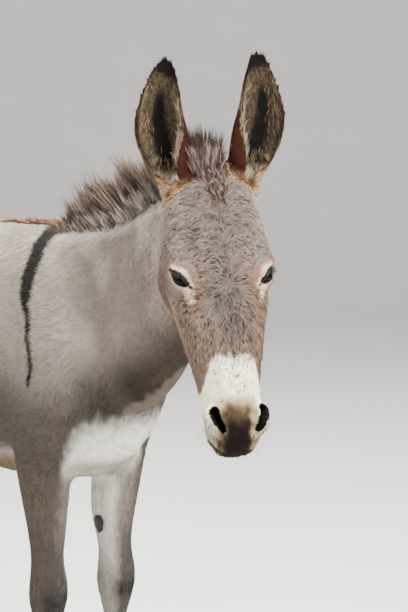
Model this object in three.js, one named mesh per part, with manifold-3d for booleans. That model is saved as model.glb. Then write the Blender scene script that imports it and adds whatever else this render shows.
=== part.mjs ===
// A life-size standing donkey, as a still museum model: one closed solid for each named part of the body.
// Millimetres, +Z up. In the body's own frame it faces -Y, its left side is +X and the ground is z = 0.
// The flesh is made of lofts joined into one body, and regions laid across it part it into nodes.
import * as THREE from "three";
import { ParametricGeometry } from "three/addons/geometries/ParametricGeometry.js";
import { mergeVertices } from "three/addons/utils/BufferGeometryUtils.js";
import Module from "manifold-3d";

const wasm = await Module();
wasm.setup();

// ---------------------------------------------------------------- driving dimensions
const GAP = 0.3; // between neighbouring solids
const HOOF_TOP = 62; // height of the coronet, where leg meets hoof
const EYE_R = 19;
const EAR_LENGTH = 240;
const EAR_WALL = 7;

// The head hangs from the poll. It turns to the donkey's right, and the face leans forward from the vertical.
const POLL = [-152, -563, 1177];
const HEAD_TURN = 32.5;
const FACE_LEAN = 22;
const HEAD_ROLL = 1;

const deg = THREE.MathUtils.degToRad;
const vec = (x, y, z) => new THREE.Vector3(x, y, z);
const FRONT = vec(0, -1, 0);
const BACK = vec(0, 1, 0);
const UP = vec(0, 0, 1);
const DOWN = vec(0, 0, -1);
const shift = (x, y, z) => new THREE.Matrix4().makeTranslation(x, y, z);
const rotateX = (degrees) => new THREE.Matrix4().makeRotationX(deg(degrees));
const rotateY = (degrees) => new THREE.Matrix4().makeRotationY(deg(degrees));
const rotateZ = (degrees) => new THREE.Matrix4().makeRotationZ(deg(degrees));
const placed = (...steps) => steps.reduce((all, step) => all.clone().multiply(step));

// ---------------------------------------------------------------- solids from three.js geometries
function solidOf(geometry) {
  for (const name of ["normal", "uv"]) geometry.deleteAttribute(name);
  const merged = mergeVertices(geometry, 1e-3);
  const corners = [];
  for (let i = 0; i < merged.index.count; i += 3) {
    const triangle = [0, 1, 2].map((k) => merged.index.getX(i + k));
    if (new Set(triangle).size === 3) corners.push(...triangle);
  }
  const vertProperties = new Float32Array(merged.attributes.position.array);
  return new wasm.Manifold(
    new wasm.Mesh({ numProp: 3, vertProperties, triVerts: new Uint32Array(corners) }),
  );
}

function geometryOf(solid) {
  const { vertProperties, triVerts } = solid.getMesh();
  return new THREE.BufferGeometry()
    .setAttribute("position", new THREE.BufferAttribute(new Float32Array(vertProperties), 3))
    .setIndex(new THREE.BufferAttribute(new Uint32Array(triVerts), 1));
}

const join = (solids) => solids.reduce((whole, solid) => whole.add(solid));

// A section carried along a smooth path through its stations, closed by a round cap at each end.
// A station is x, y, z, half width, reach above the path, reach below it. The section stands square to
// `along` where that is given, and otherwise square to the path, with its top as near upright as it can be.
function loft(stations, options) {
  const { along, above, around = 24, rings = 24, capRings = 3, caps = [10, 10] } = options;
  const { power = 2.1, grow = 0, place = new THREE.Matrix4() } = options;
  const smooth = (from) =>
    new THREE.CatmullRomCurve3(stations.map((s) => vec(...s.slice(from, from + 3))), false, "catmullrom");
  const path = smooth(0);
  const size = smooth(3);
  const rounded = (value) => Math.sign(value) * Math.abs(value) ** (2 / power);
  const last = rings + 2 * capRings;
  const surface = (u, v, target) => {
    const ring = Math.round(v * last);
    const intoStart = Math.max(0, capRings - ring) / capRings;
    const intoEnd = Math.max(0, ring - capRings - rings) / capRings;
    const t = THREE.MathUtils.clamp((ring - capRings) / rings, 0, 1);
    const forward = along ?? path.getTangent(t);
    const side = above ? above.clone().cross(forward) : UP.clone().cross(forward).normalize();
    const rise = above ?? forward.clone().cross(side);
    const [halfWidth, top, bottom] = size.getPoint(t).addScalar(grow).toArray();
    const shrink = Math.cos((Math.PI / 2) * Math.max(intoStart, intoEnd));
    const before = Math.sin((Math.PI / 2) * intoStart) * (caps[0] + grow);
    const beyond = Math.sin((Math.PI / 2) * intoEnd) * (caps[1] + grow);
    const angle = 2 * Math.PI * u;
    const height = rounded(Math.sin(angle)) * (Math.sin(angle) > 0 ? top : bottom);
    target.copy(path.getPoint(t)).addScaledVector(forward, beyond - before);
    target.addScaledVector(side, rounded(Math.cos(angle)) * halfWidth * shrink);
    target.addScaledVector(rise, height * shrink);
  };
  return solidOf(new ParametricGeometry(surface, around, last).applyMatrix4(place));
}

function ellipsoid([x, y, z], [rx, ry, rz], place) {
  const geometry = new THREE.SphereGeometry(1, 12, 7).scale(rx, ry, rz).translate(x, y, z);
  return solidOf(geometry.applyMatrix4(place));
}

// A box from one corner to the other, in a placed frame.
function box(low, high, grow = 0, place = new THREE.Matrix4()) {
  const size = high.map((value, k) => value - low[k] + 2 * grow);
  const middle = high.map((value, k) => (value + low[k]) / 2);
  return solidOf(new THREE.BoxGeometry(...size).translate(...middle).applyMatrix4(place));
}

// ---------------------------------------------------------------- trunk
// y, height of the widest level, half width, up to the top line, down to the underline
const TRUNK = [
  [-205, 735, 58, 56, 60],
  [-190, 735, 88, 96, 94],
  [-150, 738, 118, 168, 144],
  [-95, 748, 132, 238, 190],
  [-35, 758, 140, 286, 212],
  [30, 768, 149, 290, 226],
  [130, 772, 168, 286, 238],
  [260, 774, 187, 282, 238],
  [390, 778, 192, 279, 228],
  [510, 794, 184, 268, 196],
  [620, 830, 168, 230, 170],
  [705, 850, 144, 182, 150],
  [765, 858, 108, 128, 116],
  [795, 860, 70, 80, 80],
];
const trunkOf = (grow) =>
  loft(TRUNK.map(([y, z, ...size]) => [0, y, z, ...size]), {
    along: BACK, above: UP, around: 20, rings: 13, capRings: 2, caps: [12, 16], grow,
  });

// ---------------------------------------------------------------- legs
// height, centre away from the leg's line to the outside and to the front, half width, front, back
const FORELEG_LINE = [92, -34];
const FORELEG = [
  [970, -44, -30, 44, 50, 60],
  [910, -20, -10, 50, 78, 80],
  [840, 2, 12, 55, 100, 90],
  [770, 11, 28, 58, 108, 98],
  [700, 13, 24, 59, 94, 98],
  [640, 12, 12, 57, 72, 86],
  [580, 8, 5, 52, 58, 72],
  [520, 4, 2, 46, 50, 60],
  [450, 0, 0, 38, 41, 46],
  [395, 0, 0, 34, 36, 38],
  [355, 0, 2, 38, 38, 41],
  [318, 0, 2, 40, 40, 45],
  [282, 0, 0, 34, 34, 37],
  [240, 0, -1, 24, 25, 29],
  [190, 0, -1, 23, 24, 29],
  [140, -2, 1, 30, 31, 38],
  [95, -4, 11, 27, 28, 31],
  [50, -4, 27, 32, 37, 35],
];
const HINDLEG_LINE = [96, 735];
const HINDLEG = [
  [960, -34, 60, 50, 90, 80],
  [890, -8, 74, 64, 126, 108],
  [810, 8, 84, 70, 140, 120],
  [735, 14, 90, 68, 128, 118],
  [670, 14, 86, 62, 104, 106],
  [610, 10, 66, 54, 78, 86],
  [555, 6, 38, 46, 60, 66],
  [505, 3, 10, 38, 47, 54],
  [465, 0, -12, 35, 42, 49],
  [428, 0, -24, 35, 42, 50],
  [385, 0, -26, 34, 40, 42],
  [340, -1, -24, 27, 31, 34],
  [280, -1, -22, 23, 26, 31],
  [200, -2, -18, 23, 25, 31],
  [142, -3, -12, 30, 32, 38],
  [95, -4, 3, 27, 28, 32],
  [50, -4, 21, 31, 36, 35],
];
// The hooves of the two hind legs stand a little apart, one ahead and one behind, and the legs slope to them.
const STRIDE = { fore: { left: 0, right: 0 }, hind: { left: -30, right: 26 } };
const STRIDE_TOP = 680;
const legRows = (rows, [x, y], side, stride) =>
  rows.map(([z, out, fore, ...size]) => {
    const reach = stride * Math.max(0, 1 - z / STRIDE_TOP);
    return [side * (x + out), y - fore - reach, z, ...size];
  });
const legOf = (rows, line, side, stride) =>
  loft(legRows(rows, line, side, stride), {
    along: DOWN, above: FRONT, around: 12, rings: 20, capRings: 1, caps: [30, 0],
  });

// A hoof widens from the coronet to the ground, and its sole is flat.
const FORE_HOOF = [
  [HOOF_TOP, -4, 23, 33, 38, 36],
  [30, -4, 29, 37, 44, 38],
  [0, -4, 34, 40, 51, 39],
];
const HIND_HOOF = [
  [HOOF_TOP, -4, 17, 32, 37, 36],
  [30, -4, 23, 35, 43, 38],
  [0, -4, 28, 37, 49, 39],
];
const hoofOf = (rows, line, side, stride) =>
  loft(legRows(rows, line, side, stride), {
    along: DOWN, above: FRONT, around: 14, rings: 3, capRings: 1, caps: [0, 0], power: 2.3,
  });

// ---------------------------------------------------------------- neck
// centre x, y, z, half width, up to the crest, down to the throat
const NECK = [
  [0, 20, 836, 92, 205, 190],
  [0, -90, 866, 98, 204, 210],
  [-5, -185, 906, 86, 190, 200],
  [-22, -278, 954, 75, 166, 176],
  [-54, -370, 1006, 68, 142, 150],
  [-94, -455, 1054, 66, 118, 122],
  [-128, -520, 1092, 62, 92, 94],
];
const neckOf = (grow) => loft(NECK, { around: 16, rings: 8, capRings: 2, caps: [10, 20], grow });

// ---------------------------------------------------------------- head
// In the head's own frame the poll is the origin, the face looks along -Y and the muzzle is at -Z.
const headPlace = placed(shift(...POLL), rotateZ(-HEAD_TURN), rotateX(-FACE_LEAN), rotateY(-HEAD_ROLL));

// down from the poll, back to the widest level, half width, out to the face, back to the underside
const SKULL = [
  [-30, 60, 56, 42, 54],
  [0, 58, 76, 60, 76],
  [50, 54, 86, 66, 90],
  [110, 50, 96, 66, 100],
  [165, 48, 97, 62, 104],
  [215, 50, 87, 58, 100],
  [268, 52, 76, 56, 84],
  [325, 54, 64, 53, 64],
  [375, 56, 54, 51, 54],
  [420, 58, 50, 48, 50],
  [452, 61, 45, 43, 44],
  [472, 64, 35, 34, 36],
];
const JAW = [
  [60, 136, 46, 50, 42],
  [90, 140, 62, 52, 60],
  [135, 141, 67, 58, 70],
  [185, 137, 64, 58, 68],
  [245, 124, 54, 50, 54],
  [315, 111, 43, 40, 38],
  [375, 103, 37, 31, 28],
  [422, 99, 35, 28, 26],
  [455, 95, 29, 22, 22],
];
const headLoft = (rows, options) =>
  loft(rows.map(([down, back, ...size]) => [0, back, -down, ...size]), {
    along: DOWN, above: FRONT, place: headPlace, ...options,
  });
const skullOf = (grow) =>
  headLoft(SKULL, { around: 20, rings: 13, capRings: 2, caps: [24, 12], power: 2.25, grow });
const jaw = headLoft(JAW, { around: 12, rings: 7, capRings: 2, caps: [20, 10] });
// Centre and radii of what stands out from the left side of the head. The right side mirrors them.
const HEAD_SWELLINGS = [
  [[72, 40, -158], [29, 33, 44]], // rim of the eye socket
  [[52, 116, -150], [24, 78, 78]], // cheek
  [[37, 38, -424], [19, 25, 28]], // wing of the nostril
];
const EYE = [68.5, 19, -174];

// ---------------------------------------------------------------- ears
// up from the root, centre outward, half width, out to the front, back
const EAR = [
  [-24, 0, 28, 24, 28],
  [20, 2, 34, 26, 30],
  [60, 12, 43, 22, 34],
  [100, 20, 48, 16, 34],
  [140, 23, 44, 12, 30],
  [180, 18, 34, 9, 22],
  [208, 11, 21, 6, 14],
  [EAR_LENGTH - 6, 5, 9, 4, 7],
];
const EAR_ROOT = [60, 42, -12];
const EAR_RAISE = { left: 12, right: 0 }; // one ear is pricked a little more than the other
const EAR_SPREAD = { left: 8, right: 2 }; // how far each ear leans out from the head's middle
const EAR_FACING = { left: 6, right: 14 }; // how far each opening turns outward
const EAR_BACK = 6; // how far the ears lean back
const EAR_FOOT = 22; // how far up from its root each ear leaves the head
const BOWL_FORWARD = 8; // the bowl is the ear's own shape, thinner, moved forward and down
const BOWL_DROP = 16;

function earPlace(side, name) {
  const [x, y, z] = EAR_ROOT;
  const root = placed(headPlace, shift(side * x, y, z + EAR_RAISE[name]));
  const upright = placed(root, rotateY(side * EAR_SPREAD[name]), rotateX(FACE_LEAN - EAR_BACK));
  return placed(upright, rotateZ(side * EAR_FACING[name]));
}

function earOf(side, name) {
  const upright = { along: UP, above: FRONT, place: earPlace(side, name), power: 2 };
  const outer = EAR.map(([z, out, ...size]) => [side * out, 0, z, ...size]);
  const bowl = EAR.slice(2, -1).map(([z, out, halfWidth, front, back]) => [
    side * out, -BOWL_FORWARD, z - BOWL_DROP, halfWidth - EAR_WALL, front + 14, back - EAR_WALL + 6,
  ]);
  const cavity = loft(bowl, { ...upright, around: 10, rings: 4, capRings: 2, caps: [18, 12] });
  return loft(outer, { ...upright, around: 12, rings: 7, capRings: 2, caps: [6, 6] }).subtract(cavity);
}

// ---------------------------------------------------------------- mane and tail
// The mane stands along the crest, from the withers to between the ears: x, y, z, half width, above, below.
const MANE = [
  [0, 0, 1040, 12, 28, 20],
  [0, -60, 1048, 16, 84, 24],
  [-4, -130, 1066, 19, 112, 26],
  [-20, -230, 1100, 20, 122, 28],
  [-50, -330, 1136, 20, 118, 30],
  [-92, -430, 1162, 20, 112, 32],
  [-130, -505, 1172, 20, 108, 32],
  [-156, -552, 1172, 18, 92, 30],
];
const mane = loft(MANE, { around: 8, rings: 10, capRings: 2, caps: [20, 12], power: 1.7 });
const TAIL = [
  [0, 782, 952, 24, 24, 26],
  [0, 813, 918, 25, 28, 27],
  [0, 839, 865, 22, 24, 23],
  [0, 852, 790, 19, 20, 20],
  [0, 855, 700, 16, 17, 17],
  [0, 853, 610, 15, 15, 15],
  [0, 851, 540, 14, 14, 14],
];
const hanging = { along: DOWN, above: FRONT, power: 2, capRings: 2 };
const dock = loft(TAIL, { ...hanging, around: 8, rings: 8, caps: [16, 0] });
const SWITCH = [
  [0, 852, 590, 18, 19, 19],
  [0, 851, 530, 26, 27, 27],
  [0, 850, 470, 30, 31, 31],
  [0, 849, 410, 26, 27, 27],
  [0, 848, 360, 15, 16, 16],
];
const tailSwitch = loft(SWITCH, { ...hanging, around: 12, rings: 7, caps: [0, 22] });
const DOCK_END = 560;

// ---------------------------------------------------------------- the flesh as one body
const SIDES = [["left", 1], ["right", -1]];
const flesh = [trunkOf(0), neckOf(0), skullOf(0), jaw, dock];
for (const [name, side] of SIDES) {
  for (const [[x, y, z], radii] of HEAD_SWELLINGS)
    flesh.push(ellipsoid([side * x, y, z], radii, headPlace));
  flesh.push(legOf(FORELEG, FORELEG_LINE, side, STRIDE.fore[name]));
  flesh.push(legOf(HINDLEG, HINDLEG_LINE, side, STRIDE.hind[name]));
  flesh.push(earOf(side, name));
}
let rest = join(flesh);

// ---------------------------------------------------------------- the nodes
const group = new THREE.Group();
function node(name, solid, color, roughness = 0.85) {
  const mesh = new THREE.Mesh(
    geometryOf(solid),
    new THREE.MeshStandardMaterial({ color, roughness, metalness: 0 }),
  );
  mesh.name = name;
  group.add(mesh);
}

// Takes what a region holds out of the flesh. The region is a function of how much it is grown, for the gap.
function take(name, region, color) {
  node(name, rest.intersect(region(0)), color);
  rest = rest.subtract(region(GAP));
}

const COAT = 0xa3978c;
const PALE = 0xece4d4;
const KNEE = 0x6f6862;
const RUFOUS = 0x7a4a34;
const DARK_HAIR = 0x3d332f;
const HORN = 0x4b443e;
const BLACK = 0x14100e;
const FAR = 2000;

// Each leg is parted from the trunk by a slope that rises outward, and again above the knee or hock.
const LEGS = [
  {
    name: "fore", line: FORELEG_LINE, hoof: FORE_HOOF,
    inner: [40, 552], slope: 40, front: 112, back: 88, joint: 372,
  },
  {
    name: "hind", line: HINDLEG_LINE, hoof: HIND_HOOF,
    inner: [30, 640], slope: 38, front: 200, back: 80, joint: 456,
  },
];
const MIDLINE = 20; // half the strip of the trunk that stays between the legs
for (const leg of LEGS)
  for (const [name, side] of SIDES) {
    const [x, y] = leg.line;
    const stride = STRIDE[leg.name][name];
    const [near, far] = side > 0 ? [MIDLINE, FAR] : [-FAR, -MIDLINE];
    const slope = placed(shift(side * leg.inner[0], y, leg.inner[1]), rotateY(-side * leg.slope));
    const upper = (grow) =>
      box([-FAR, -leg.front, -FAR], [FAR, leg.back, 0], grow, slope).intersect(
        box([near, -FAR, leg.joint], [far, FAR, FAR]),
      );
    const lower = (grow) =>
      box([side * x - 80, y - 130, HOOF_TOP + GAP], [side * x + 80, y + 150, leg.joint], grow);
    take(`leg_${leg.name}_${name}_lower`, lower, leg.name === "fore" ? KNEE : COAT);
    take(`leg_${leg.name}_${name}_upper`, upper, COAT);
    node(`hoof_${leg.name}_${name}`, hoofOf(leg.hoof, leg.line, side, stride), HORN, 0.6);
  }

for (const [name, side] of SIDES) {
  const centre = [side * EYE[0], EYE[1], EYE[2]];
  const eyeball = (radius) => ellipsoid(centre, [radius, radius, radius], headPlace);
  node(`eye_${name}`, eyeball(EYE_R), BLACK, 0.1);
  rest = rest.subtract(eyeball(EYE_R + GAP));
  const earRegion = (grow) => box([-75, -80, EAR_FOOT], [75, 80, 400], grow, earPlace(side, name));
  take(`ear_${name}`, earRegion, RUFOUS);
}

// The muzzle and the chin part at the mouth, and both leave the head where the pale nose begins.
const NOSE_TOP = -335;
const MOUTH_BACK = 92;
const HEAD_BACK = 222;
const noseRegion = (grow) => box([-100, -100, -600], [100, MOUTH_BACK, NOSE_TOP], grow, headPlace);
const chinRegion = (grow) => box([-100, MOUTH_BACK + GAP, -600], [100, HEAD_BACK, NOSE_TOP], grow, headPlace);
take("muzzle", noseRegion, PALE);
take("chin", chinRegion, PALE);

// The head leaves the neck on a slope behind the poll, and lower down behind the angle of the jaw.
const NAPE = placed(headPlace, shift(0, 62, 18), rotateX(-43));
const headRegion = (grow) =>
  box([-160, -200, -600], [160, HEAD_BACK, 100], grow, headPlace).intersect(
    box([-FAR, -FAR, -FAR], [FAR, FAR, 0], grow, NAPE),
  );
take("head", headRegion, COAT);

// The neck leaves the trunk on a plane from the withers to the breast.
const NECK_BASE = placed(shift(0, -60, 1060), rotateX(62.3));
take("neck", (grow) => box([-FAR, -FAR, 0], [FAR, FAR, FAR], grow, NECK_BASE), COAT);

const TAIL_ROOT = 818;
take("tail", (grow) => box([-60, TAIL_ROOT, DOCK_END], [60, 1000, 1000], grow), COAT);

const SHOULDER_END = 150;
const BARREL_END = 450;
const across = (from, to) => (grow) => box([-FAR, from, 400], [FAR, to, FAR], grow);
take("trunk_shoulders", across(-FAR, SHOULDER_END), COAT);
take("trunk_barrel", across(SHOULDER_END + GAP, BARREL_END), COAT);
take("trunk_hindquarters", across(BARREL_END + GAP, TAIL_ROOT - GAP), COAT);

// Hair that stands clear of the body: the mane with its tuft between the ears, and the tail's switch.
const hair = mane.subtract(neckOf(GAP)).subtract(trunkOf(GAP)).subtract(skullOf(GAP));
const tuftRegion = (grow) => box([-80, -FAR, -FAR], [80, 30, FAR], grow, headPlace);
node("mane_tuft", hair.intersect(tuftRegion(0)), DARK_HAIR);
node("mane", hair.subtract(tuftRegion(GAP)), DARK_HAIR);
const belowDock = box([-100, 0, 0], [100, FAR, DOCK_END - GAP]);
node("tail_switch", tailSwitch.intersect(belowDock), DARK_HAIR);

// The origin is on the ground, under the middle of the whole.
const extent = new THREE.Box3().setFromObject(group);
const middle = extent.getCenter(vec(0, 0, 0));
group.position.set(-middle.x, -middle.y, -extent.min.z);
export default group;
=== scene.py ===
"""A life-size standing donkey as a still museum model: skin, coat, mane, tail, eyes and hooves over the
CAD solids.

Shapes are worked out in millimetres in the body's own frame: it faces -Y, its left side is +X, the
ground is z = 0. The head and each ear have a frame of their own. metres() takes a finished shape to the
frame that the CAD is in."""

import bmesh
import bpy
import numpy as np
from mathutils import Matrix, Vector


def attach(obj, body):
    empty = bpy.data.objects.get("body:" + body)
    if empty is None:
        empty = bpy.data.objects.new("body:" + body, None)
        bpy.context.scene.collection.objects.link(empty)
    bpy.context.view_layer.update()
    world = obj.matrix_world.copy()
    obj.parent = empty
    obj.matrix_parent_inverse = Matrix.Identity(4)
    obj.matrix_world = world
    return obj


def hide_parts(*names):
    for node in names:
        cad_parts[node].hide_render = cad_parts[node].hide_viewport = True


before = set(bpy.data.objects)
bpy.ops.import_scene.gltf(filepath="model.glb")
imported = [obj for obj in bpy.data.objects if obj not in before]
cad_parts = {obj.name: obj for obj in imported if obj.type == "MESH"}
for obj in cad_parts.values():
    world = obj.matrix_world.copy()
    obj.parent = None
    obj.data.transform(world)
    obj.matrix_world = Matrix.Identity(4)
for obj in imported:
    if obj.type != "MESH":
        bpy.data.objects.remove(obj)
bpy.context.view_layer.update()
rng = np.random.default_rng(7)


# ---------------------------------------------------------------- small sums
def ramp(x, start, end):
    """0 before start, 1 after end, and a smooth S between them. Start may be the larger."""
    t = np.clip((x - start) / (end - start), 0, 1)
    return t * t * (3 - 2 * t)


def hump(points, centre, radii):
    """A bell that is 1 at the centre and falls off with the distance measured in radii."""
    return np.exp(-0.5 * (((points - np.array(centre, float)) / np.array(radii, float)) ** 2).sum(-1))


def unit(v):
    return v / np.maximum(np.linalg.norm(v, axis=-1, keepdims=True), 1e-9)


def tone(red, green, blue):
    """A colour as a paint chart gives it, 0 to 255, turned to the linear values that a shader takes."""
    c = np.array([red, green, blue], float) / 255
    return np.where(c <= 0.04045, c / 12.92, ((c + 0.055) / 1.055) ** 2.4)


def to_line(points, line):
    """The distance from each point to a line through several corners, and how far along it the nearest
    place is."""
    line = np.array(line, float)
    best = np.full(len(points), 1e9)
    place = np.zeros(len(points))
    for k in range(len(line) - 1):
        step = line[k + 1] - line[k]
        t = np.clip(((points - line[k]) @ step) / (step @ step), 0, 1)
        d = np.linalg.norm(points - line[k] - t[:, None] * step, axis=1)
        place = np.where(d < best, k + t, place)
        best = np.minimum(best, d)
    return best, place / (len(line) - 1)


def catmull(rows, t):
    """The Catmull-Rom curve through the rows, at the shares t of the way from the first to the last."""
    rows = np.array(rows, float)
    padded = np.vstack([2 * rows[0] - rows[1], rows, 2 * rows[-1] - rows[-2]])
    x = np.clip(t, 0, 1) * (len(rows) - 1)
    i = np.minimum(x.astype(int), len(rows) - 2)
    f = (x - i)[:, None]
    a, b, c, d = (padded[i + k] for k in range(4))
    m, n = (c - a) / 2, (d - b) / 2
    return b + f * m + f**2 * (3 * (c - b) - 2 * m - n) + f**3 * (2 * (b - c) + m + n)


def at_height(rows, z):
    """The values of rows of (height, value, ...) at the heights z, on straight lines between them."""
    rows = np.array(rows, float)
    rows = rows[np.argsort(rows[:, 0])]
    return [np.interp(z, rows[:, 0], rows[:, k]) for k in range(1, rows.shape[1])]


# ---------------------------------------------------------------- frames
def turn_x(degrees):
    c, s = np.cos(np.radians(degrees)), np.sin(np.radians(degrees))
    return np.array([[1, 0, 0], [0, c, -s], [0, s, c]])


def turn_y(degrees):
    c, s = np.cos(np.radians(degrees)), np.sin(np.radians(degrees))
    return np.array([[c, 0, s], [0, 1, 0], [-s, 0, c]])


def turn_z(degrees):
    c, s = np.cos(np.radians(degrees)), np.sin(np.radians(degrees))
    return np.array([[c, -s, 0], [s, c, 0], [0, 0, 1]])


GROUND_MIDDLE = np.array([36.094, -83.293, 0.0])  # from the body's frame to the CAD's
FRONT, BACK = np.array([0, -1.0, 0]), np.array([0, 1.0, 0])
UP, DOWN = np.array([0, 0, 1.0]), np.array([0, 0, -1.0])
SIDES = (("left", 1), ("right", -1))


def metres(points):
    return (points + GROUND_MIDDLE) / 1000


# The head hangs from the poll: turned to the donkey's right, the face leaning forward from the vertical.
POLL = np.array([-152.0, -563, 1177])
FACE_LEAN = 22
HEAD_AXES = turn_z(-32.5) @ turn_x(-FACE_LEAN) @ turn_y(-1)


def from_head(points):
    return np.asarray(points, float) @ HEAD_AXES.T + POLL


def in_head(points):
    return (points - POLL) @ HEAD_AXES


EAR_ROOT = [60, 42, -12]
EAR_RAISE = {1: 12, -1: 0}
EAR_SPREAD = {1: 8, -1: 2}
EAR_FACING = {1: 6, -1: 14}


def ear_frame(side):
    """The root of an ear and its axes: x to the donkey's left, -y out of the opening, z up to the tip."""
    root = from_head([[side * EAR_ROOT[0], EAR_ROOT[1], EAR_ROOT[2] + EAR_RAISE[side]]])[0]
    axes = (
        HEAD_AXES @ turn_y(side * EAR_SPREAD[side]) @ turn_x(FACE_LEAN - 6)
        @ turn_z(side * EAR_FACING[side])
    )
    return root, axes


def in_ear(points, side):
    """Points in an ear's frame, with x turned to point outward on either side."""
    root, axes = ear_frame(side)
    return ((points - root) @ axes) * [side, 1, 1]


# ---------------------------------------------------------------- closed surfaces as (points, quads)
def grid_quads(rows, columns, closed=True):
    """Quads of a grid of rows by columns, whose rows close on themselves where closed."""
    r, c = np.meshgrid(np.arange(rows - 1), np.arange(columns if closed else columns - 1), indexing="ij")
    n = (c + 1) % columns
    quads = [r * columns + c, r * columns + n, (r + 1) * columns + n, (r + 1) * columns + c]
    return np.stack(quads, -1).reshape(-1, 4)


def loft(stations, along=None, above=None, around=64, rings=90, caps=(10, 10), power=2.1, cap_rings=6):
    """A superellipse carried along a smooth path through the stations, closed by a round cap at each end.
    A station is x, y, z, half width, reach above the path, reach below it."""
    stations = np.array(stations, float)
    ring = np.arange(rings + 2 * cap_rings + 1)
    into_start = np.clip((cap_rings - ring) / cap_rings, 0, 1)
    into_end = np.clip((ring - cap_rings - rings) / cap_rings, 0, 1)
    t = np.clip((ring - cap_rings) / rings, 0, 1)
    centre, size = catmull(stations[:, :3], t), catmull(stations[:, 3:], t)
    if along is None:
        forward = unit(catmull(stations[:, :3], t + 0.004) - catmull(stations[:, :3], t - 0.004))
    else:
        forward = np.tile(along, (len(ring), 1))
    side = unit(np.cross(UP if above is None else above, forward))
    rise = np.cross(forward, side) if above is None else np.tile(above, (len(ring), 1))
    angle = 2 * np.pi * np.arange(around) / around
    wide = np.sign(np.cos(angle)) * np.abs(np.cos(angle)) ** (2 / power)
    high = np.sign(np.sin(angle)) * np.abs(np.sin(angle)) ** (2 / power)
    shrink = np.cos(np.pi / 2 * np.maximum(into_start, into_end))
    push = np.sin(np.pi / 2 * into_end) * caps[1] - np.sin(np.pi / 2 * into_start) * caps[0]
    reach = np.where(high > 0, size[:, 1:2], size[:, 2:3]) * high * shrink[:, None]
    points = (centre + forward * push[:, None])[:, None]
    points = points + side[:, None] * (wide * size[:, :1] * shrink[:, None])[..., None]
    points = points + rise[:, None] * reach[..., None]
    return points.reshape(-1, 3), grid_quads(len(ring), around)


def ellipsoid(centre, radii, rings=24, around=32):
    """A ball of latitude and longitude, stretched to its three radii."""
    v, u = np.meshgrid(np.linspace(0, np.pi, rings), 2 * np.pi * np.arange(around) / around, indexing="ij")
    ball = np.stack([np.sin(v) * np.cos(u), np.sin(v) * np.sin(u), np.cos(v)], -1).reshape(-1, 3)
    return ball * radii + centre, grid_quads(rings, around)


# ---------------------------------------------------------------- the sections of the body, as in the CAD
# y, height of the widest level, half width, up to the top line, down to the underline
TRUNK = [
    [-205, 735, 58, 56, 60], [-190, 735, 88, 96, 94], [-150, 738, 118, 168, 144],
    [-95, 748, 132, 238, 190], [-35, 758, 140, 286, 212], [30, 768, 149, 290, 226],
    [130, 772, 168, 286, 238], [260, 774, 187, 282, 238], [390, 778, 192, 279, 228],
    [510, 794, 184, 268, 196], [620, 830, 168, 230, 170], [705, 850, 144, 182, 150],
    [765, 858, 108, 128, 116], [795, 860, 70, 80, 80],
]
# height, centre away from the leg's line to the outside and to the front, half width, front, back
FORELEG_LINE = (92, -34)
FORELEG = [
    [970, -44, -30, 44, 50, 60], [910, -20, -10, 50, 78, 80], [840, 2, 12, 55, 100, 90],
    [770, 11, 28, 58, 108, 98], [700, 13, 24, 59, 94, 98], [640, 12, 12, 57, 72, 86],
    [580, 8, 5, 52, 58, 72], [520, 4, 2, 46, 50, 60], [450, 0, 0, 38, 41, 46], [395, 0, 0, 34, 36, 38],
    [355, 0, 2, 38, 38, 41], [318, 0, 2, 40, 40, 45], [282, 0, 0, 34, 34, 37], [240, 0, -1, 24, 25, 29],
    [190, 0, -1, 23, 24, 29], [140, -2, 1, 30, 31, 38], [95, -4, 11, 27, 28, 31],
    [50, -4, 27, 32, 37, 35],
]
HINDLEG_LINE = (96, 735)
HINDLEG = [
    [960, -34, 60, 50, 90, 80], [890, -8, 74, 64, 126, 108], [810, 8, 84, 70, 140, 120],
    [735, 14, 90, 68, 128, 118], [670, 14, 86, 62, 104, 106], [610, 10, 66, 54, 78, 86],
    [555, 6, 38, 46, 60, 66], [505, 3, 10, 38, 47, 54], [465, 0, -12, 35, 42, 49],
    [428, 0, -24, 35, 42, 50], [385, 0, -26, 34, 40, 42], [340, -1, -24, 27, 31, 34],
    [280, -1, -22, 23, 26, 31], [200, -2, -18, 23, 25, 31], [142, -3, -12, 30, 32, 38],
    [95, -4, 3, 27, 28, 32], [50, -4, 21, 31, 36, 35],
]
# How far in front of its own line each hoof stands, and the height from which its leg slopes to there
STRIDE = {("fore", 1): 0, ("fore", -1): 0, ("hind", 1): -30, ("hind", -1): 26}
STRIDE_HEIGHT = 680
HOOF_TOP = 62
FORE_HOOF = [
    [66, -4, 22, 32, 37, 35], [HOOF_TOP, -4, 23, 33, 38, 36], [30, -4, 29, 37, 44, 38],
    [0, -4, 34, 40, 51, 39],
]
HIND_HOOF = [
    [66, -4, 16, 31, 36, 35], [HOOF_TOP, -4, 17, 32, 37, 36], [30, -4, 23, 35, 43, 38],
    [0, -4, 28, 37, 49, 39],
]
# centre x, y, z, half width, up to the crest, down to the throat
NECK = [
    [0, 20, 836, 92, 205, 190], [0, -90, 866, 98, 204, 210], [-5, -185, 906, 86, 190, 200],
    [-22, -278, 954, 75, 166, 176], [-54, -370, 1006, 68, 142, 150], [-94, -455, 1054, 66, 118, 122],
    [-128, -520, 1092, 62, 92, 94],
]
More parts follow.
